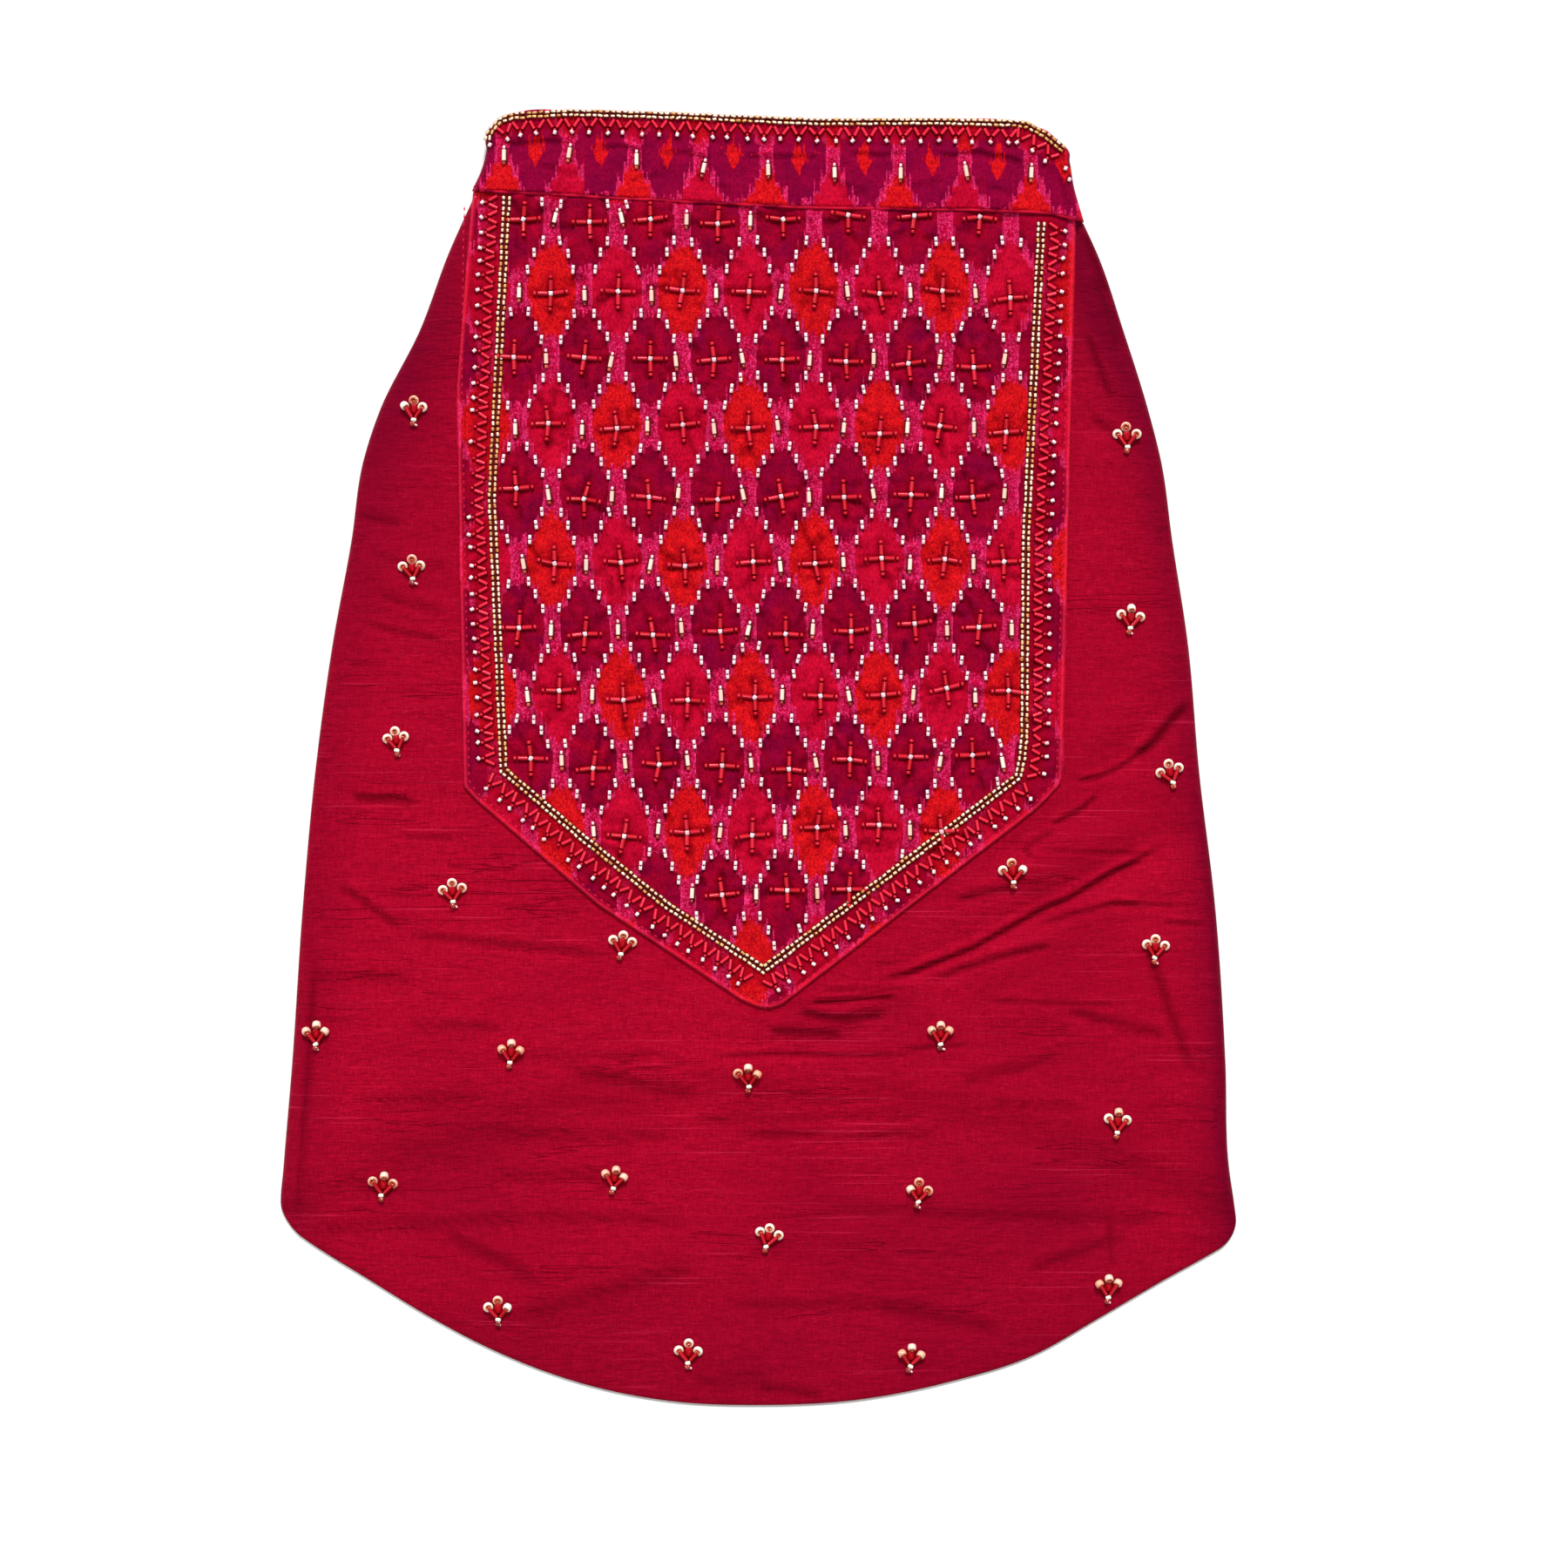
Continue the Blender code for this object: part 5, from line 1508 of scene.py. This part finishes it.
# Bars: a cream bugle stands on each magenta bar with a small white seed over it and a brown
# gold seed under it. Pairs of white tubes follow the edges of the light diamonds.
CREAM_WIDE = 1.35
CREAM_LONG = 3.3
CREAM_SEED_LONG = 0.95
SEED_FROM_CREAM = 2.5
CREAM_LEAN = 0.11
PAIR_LEAN = 0.09
THREAD_BESIDE = 0.82
INSIDE_GOLD_BY = 2.0
WHITE_OVER_CREAM = 0.88
BROWN_UNDER_CREAM = 1.15
SHOWING_THREAD = 0.55
PAIR_SPOTS = (
    # x, y from the middle of a light diamond
    (2.7, 15.0), (5.1, 11.3), (6.9, 6.5), (7.4, -6.9), (5.1, -10.8), (2.7, -14.9),
)
PAIR_HALF = 0.72
PAIR_TUBE = (1.08, 1.30)
PAIR_THREAD = (0.55, 0.42)
PAIR_ROWS = range(-1, 6)
PAIR_COLUMNS = range(-1, 9)
COLLAR_BARS = (
    # x, y
    (-78.9, 185.6), (-58.8, 186.3), (-38.0, 184.3), (-17.3, 181.6), (2.6, 181.1), (23.1, 180.2),
    (43.5, 180.0), (63.7, 180.7), (83.8, 180.2),
)
COLLAR_CORNER_SEEDS = ((94.4, 181.6), (95.6, 178.2), (-83.3, 188.9))

cream_glass = Finish("cream_glass_beads", roughness=0.30, specular=0.5, Coat_Weight=0.2)
cream_glass.paint((1.0, 0.60, 0.46), (cream_glass.carried("tint"), (1.0, 0.84, 0.74)),
                  # painted reflection and shade: the cloth's red on the beads' lower sides
                  (cream_glass.carried("up").ramp(0.60, 0.0, 0.0, 0.75), (0.95, 0.24, 0.20)))
brown_gold = Finish("brown_gold_seeds", roughness=0.15, specular=0.7, Coat_Weight=0.5)
brown_gold.paint((0.26, 0.006, 0.006), (brown_gold.carried("tint"), (0.72, 0.12, 0.05)))

cream_bugles = Beads(BUGLE_PROFILE)
brown_seeds = Beads(SEED_PROFILE)
dark_threads_and_shadows = Beads(THREAD_PROFILE, 6)


def inside_gold(x, y):
    """Whether a place lies inside the gold rows round the yoke, and below the collar."""
    if y > neck_seam(x) - 1.5:
        return False
    for (x0, y0), (x1, y1) in zip(YOKE_CORD, YOKE_CORD[1:]):
        run = math.hypot(x1 - x0, y1 - y0)
        if ((x1 - x0) * (y - y0) - (y1 - y0) * (x - x0)) / run < INSIDE_GOLD_BY:
            return False
    return True


def stand_of_cream(x, y, level):
    """A cream bugle with its two seeds, and a dark strip at one side of it: thread, and painted
    shadow.
    """
    spot = np.array([x, y])
    lean = rng.normal(0.0, CREAM_LEAN)
    way = np.array([math.sin(lean), math.cos(lean)])
    middle, lie, long = lying(level, spot - way * 1.5, spot + way * 1.5, CREAM_WIDE)
    cream_bugles.add(middle, lie, CREAM_WIDE, CREAM_LONG * rng.uniform(0.92, 1.08), rng.random())
    for sign, beads, wide in ((1, white_seeds, WHITE_OVER_CREAM),
                              (-1, brown_seeds, BROWN_UNDER_CREAM)):
        beads.add(over(level, spot + way * sign * SEED_FROM_CREAM, 0.5), (*way, 0.0), wide,
                  CREAM_SEED_LONG, rng.random())
    # the strip lies mostly on the right, as painted shadow
    beside_it = np.array([way[1], -way[0]]) * rng.choice((-1, 1, 1)) * THREAD_BESIDE
    middle, lie, long = lying(level, spot + beside_it - way * 2.6, spot + beside_it + way * 2.4,
                              SHOWING_THREAD)
    dark_threads_and_shadows.add(middle, lie, SHOWING_THREAD, long)


def pair_of_tubes(x, y):
    """Two white tubes in line, with dark thread between them."""
    lean = rng.normal(0.0, PAIR_LEAN)
    way = (math.sin(lean), math.cos(lean), 0.0)
    for sign in (-1, 1):
        tube = (x + way[0] * sign * PAIR_HALF, y + way[1] * sign * PAIR_HALF)
        white_tubes.add(over(yoke_level, tube, 0.55), way, *PAIR_TUBE, rng.random())
    dark_threads_and_shadows.add(over(yoke_level, (x, y), 0.92), way, *PAIR_THREAD)


for bar_x, bar_y in bar_spots:
    if inside_gold(bar_x, bar_y - 0.5) and inside_gold(bar_x, bar_y + 3.0):
        stand_of_cream(bar_x, bar_y, yoke_level)

for j in PAIR_ROWS:
    for i in PAIR_COLUMNS:
        light_x = IKAT_COLUMN + IKAT_PITCH * (i + 0.5)
        light_y = IKAT_ROW - IKAT_HALF_ROW * (2 * j + 1)
        light_x += float(ikat_drift(light_x, light_y))
        for dx, dy in PAIR_SPOTS:
            for hand in (-1, 1):
                pair_x = light_x + hand * dx + rng.uniform(-0.4, 0.4)
                pair_y = light_y + dy + rng.uniform(-0.5, 0.5)
                if inside_gold(pair_x, pair_y):
                    pair_of_tubes(pair_x, pair_y)

for bar_x, bar_y in COLLAR_BARS:
    stand_of_cream(bar_x, bar_y, collar_height)
for seed in COLLAR_CORNER_SEEDS:
    white_tubes.add(over(collar_height, seed, 0.5), (0.5, 1.0, 0.1), *WHITE_SEED, rng.random())
cream_bugles.made("cream_bugles", cream_glass, "cream_beads")
white_tubes.made("white_tubes", white_glass, "cream_beads")
dark_threads_and_shadows.made("dark_threads_and_shadows", dark_thread, "red_thread")


# Sprigs: three large beads, pearly or gold, round a dark red one, over two red bugles that meet
# at a pearl with a small brown seed and often a white one under it. They are scattered over the
# silk, each sewn on by itself.
SPRIGS = (
    # x, y
    (-106.8, 107.2), (-107.3, 58.1), (-112.2, 5.1), (-94.9, -41.6), (-42.5, -57.8),
    (-137.0, -85.6), (-76.8, -91.3), (-3.6, -98.8), (-116.5, -132.6), (-45.0, -130.4),
    (2.6, -148.5), (-80.9, -170.9), (-22.0, -184.4), (46.8, -185.5), (107.9, -164.2),
    (49.3, -134.5), (110.6, -112.9), (55.8, -85.6), (122.2, -58.9), (78.2, -35.6),
    (126.8, -4.9), (114.6, 42.9), (113.3, 98.8),
)
GOLDEN_SPRIGS = (6, 7, 8, 9, 10, 14, 15, 16, 18)
PEARL_PROFILE = ((0.17, -0.36), (0.30, -0.50), (0.46, -0.34), (0.50, 0.0), (0.46, 0.34),
                 (0.30, 0.50), (0.17, 0.36))
PEARL_TONES = (-1.0, -0.55, 0.0, 0.0, 0.0, -0.55, -1.0)
PETALS = ((-2.9, 0.85), (0.0, 2.8), (2.9, 0.85))
# width, length and rise of a large bead whose hole looks up, and of one that stands on edge
FACE_UP = (3.15, 1.5, 0.85)
ON_EDGE = (2.75, 2.2, 1.15)
# shares of the sprigs and of the large beads
TOP_GOLDEN = 0.5
GOLDEN_FACE_UP = 0.30
PEARLY_FACE_UP = 0.85
WHITE_SEED_TOO = 0.65
HOLE_WIDE = 1.15
SPRIG_THREAD = (3.6, 0.5)
HEART = (2.3, 3.2)
LEG_WIDE = 1.15
TOE = -3.3
TOE_PEARL = (1.25, 1.75)
TOE_BROWN = (1.7, 1.6)
TOE_WHITE = (0.7, 1.2)

heart_glass = Finish("deep_red_glass", roughness=0.30, specular=0.35,
                     Specular_Tint=(1.0, 0.30, 0.40, 1.0))
heart_glass.paint((0.40, 0.0011, 0.0075))
champagne = Finish("champagne_beads", roughness=0.20, specular=0.7, Coat_Weight=0.7)
tint = champagne.carried("tint")
champagne.paint((0.50, 0.055, 0.022), (tint.ramp(0.0, 0.35), (0.92, 0.34, 0.17)),
                (tint.ramp(0.3, 0.75), (1.0, 0.94, 0.82)))

hearts = Beads(PEARL_PROFILE, 10)


def sprig(number, sx, sy):
    """One sprig at a place. Its large beads are a piece of their own."""
    large = Beads(PEARL_PROFILE, 14, PEARL_TONES)
    turn = rng.normal(0.0, 0.10)
    cos, sin = math.cos(turn), math.sin(turn)

    def spot(dx, dy):
        """A place from the sprig's middle, turned with it."""
        return sx + dx * cos - dy * sin, sy + dx * sin + dy * cos

    all_golden = number in GOLDEN_SPRIGS
    top_golden = rng.random() < TOP_GOLDEN
    # a dark red disc under the sprig's middle: thread, and painted shade between its large beads
    red_threads_and_shadows.add(over(back_level, spot(0.0, 0.2), 0.1), (0.0, 0.0, 1.0), *SPRIG_THREAD)
    hearts.add(over(back_level, spot(0.0, 0.35), 0.35), (-sin, cos, 0.0), *HEART)
    for dx, dy in PETALS:
        px, py = spot(dx + rng.normal(0, 0.18), dy + rng.normal(0, 0.18))
        to_toe = math.hypot(dx, dy - TOE)
        way_x, way_y = -dx / to_toe, (TOE - dy) / to_toe
        face_up = rng.random() < (GOLDEN_FACE_UP if all_golden else PEARLY_FACE_UP)
        wide, long, rise = FACE_UP if face_up else ON_EDGE
        lean = rng.uniform(0.20, 0.60) if face_up else rng.uniform(0.9, 1.7)
        lie = (way_x * lean + rng.normal(0, 0.08), way_y * lean, 1.0)
        golden = all_golden or (top_golden and not dx)
        tint = rng.uniform(0.34, 0.60) if golden else rng.uniform(0.74, 1.0)
        middle = over(back_level, (px, py), rise)
        large.add(middle, lie, wide, long, tint)
        hole = (px + way_x * 0.45, py + way_y * 0.45, middle[2] + 0.05)
        large.add(hole, lie, HOLE_WIDE, long - 0.2, 0.1)
        if dx:
            start = (px + way_x * 0.55, py + way_y * 0.55)
            middle, lie, long = lying(back_level, start, spot(dx * 0.17, TOE + 0.9), LEG_WIDE)
            add_bugle(red_bugles, (middle[0], middle[1], middle[2] + 0.75),
                      (lie[0], lie[1], lie[2] - 0.9), LEG_WIDE, long, rng.uniform(0.0, 0.35))
    toe = spot(rng.normal(0, 0.15), TOE + 0.15)
    large.add(over(back_level, toe, 1.2), (1.0, rng.normal(0, 0.35), 0.1), *TOE_PEARL,
              rng.uniform(0.7, 1.0))
    seed = spot(rng.uniform(-0.45, -0.05), TOE - 1.05)
    brown_seeds.add(over(back_level, seed, 0.7), (1.0, rng.normal(0, 0.4), 0.2), *TOE_BROWN,
                    rng.random() * 0.5)
    if rng.random() < WHITE_SEED_TOO:
        seed = spot(rng.uniform(0.1, 0.9), TOE - 1.35)
        white_seeds.add(over(back_level, seed, 0.8), (1.0, rng.uniform(-0.9, -0.2), 0.1),
                        *TOE_WHITE, 0.2)
    large.made(f"sprig_beads_{number:02d}", champagne, "cream_beads", f"sprig_{number:02d}")


for number, middle in enumerate(SPRIGS, 1):
    sprig(number, *middle)
hearts.made("sprig_hearts", heart_glass, "red_beads")
red_bugles.made("red_bugles", red_glass, "red_beads")
white_seeds.made("white_seeds", white_glass, "cream_beads")
brown_seeds.made("brown_seeds", brown_gold, "gold_beads")
red_threads_and_shadows.made("red_threads_and_shadows", red_thread, "red_thread")


# Cloth beside the beads: the ikat is painted darker by each bead and in the hollows of its relief,
# and the red beads cast painted red on it, reflected red and shade. The cloth's meshes carry how
# much, for their finishes to read.
BEAD_SHADE = 0.75
# reaches of the painted red cast beside the border bugles and the crosses
BORDER_RED_CAST = 1.5
CROSS_RED_CAST = 0.9
DARK_BY_LIGHT = 0.75
DARK_BY_RED = 0.40
DARK_IN_HOLLOWS = 0.75
RED_CAST_OF_CROSSES = 0.55
BEADED_XS = (-102.0, 106.0)
BEADED_YS = (-86.0, 206.0)
WINDOW = 10


def beside(kinds, reach):
    """How near a bead of some kinds lies at places on a grid, 0 to 1, fading over a reach."""

    def near_beads(x, y):
        near = np.zeros_like(x)
        rows = (row for beads in kinds for row in beads.rows)
        for bx, by, bz, wx, wy, wz, wide, long, tint in rows:
            half = long / 2 / math.sqrt(wx * wx + wy * wy + wz * wz)
            i = int((by - y[0, 0]) / Relief.STEP)
            j = int((bx - x[0, 0]) / Relief.STEP)
            if not (WINDOW < i < x.shape[0] - WINDOW and WINDOW < j < x.shape[1] - WINDOW):
                continue
            cut = (slice(i - WINDOW, i + WINDOW + 1), slice(j - WINDOW, j + WINDOW + 1))
            px, py = x[cut] - bx, y[cut] - by
            on = np.clip((px * wx + py * wy) / (wx * wx + wy * wy + 1e-6), -half, half)
            away = np.hypot(px - on * wx, py - on * wy) - wide / 2
            near[cut] = np.maximum(near[cut], np.exp(-(np.maximum(away, 0.0) / reach) ** 2))
        return near

    return Relief(near_beads, BEADED_XS, BEADED_YS)


by_light = beside((cream_bugles, white_tubes, white_seeds), BEAD_SHADE)
by_red = beside((border_bugles, red_bugles, red_seeds), BEAD_SHADE)
border_red_cast = beside((border_bugles,), BORDER_RED_CAST)
cross_red_cast = beside((red_bugles, red_seeds), CROSS_RED_CAST)
# hollows of the yoke's relief, for painted shade
yoke_deep = yoke_level.hollows(2.0, 0.28)(yoke_x, yoke_y) * ease((neck_seam(yoke_x) - yoke_y) / 4.0)
collar_x, collar_y = collar_points[:, 0], collar_points[:, 1]
# the collar's crease lines, for painted shade
collar_deep = creases(COLLAR_CREASES, collar_x, collar_y)[1]
for mesh, x, y, deep in ((yoke_mesh, yoke_x, yoke_y, yoke_deep),
                         (collar_mesh, collar_x, collar_y, collar_deep)):
    # painted shade by the pale beads, by the red ones and in the hollows
    dip = DARK_BY_LIGHT * by_light(x, y) + DARK_BY_RED * by_red(x, y) + DARK_IN_HOLLOWS * deep
    # painted red cast, reflected red and shade from the red beads
    glow = np.maximum(border_red_cast(x, y), RED_CAST_OF_CROSSES * cross_red_cast(x, y))
    carry(mesh, "dip", np.clip(dip, 0.0, 1.0))
    carry(mesh, "glow", np.clip(glow, 0.0, 1.0))
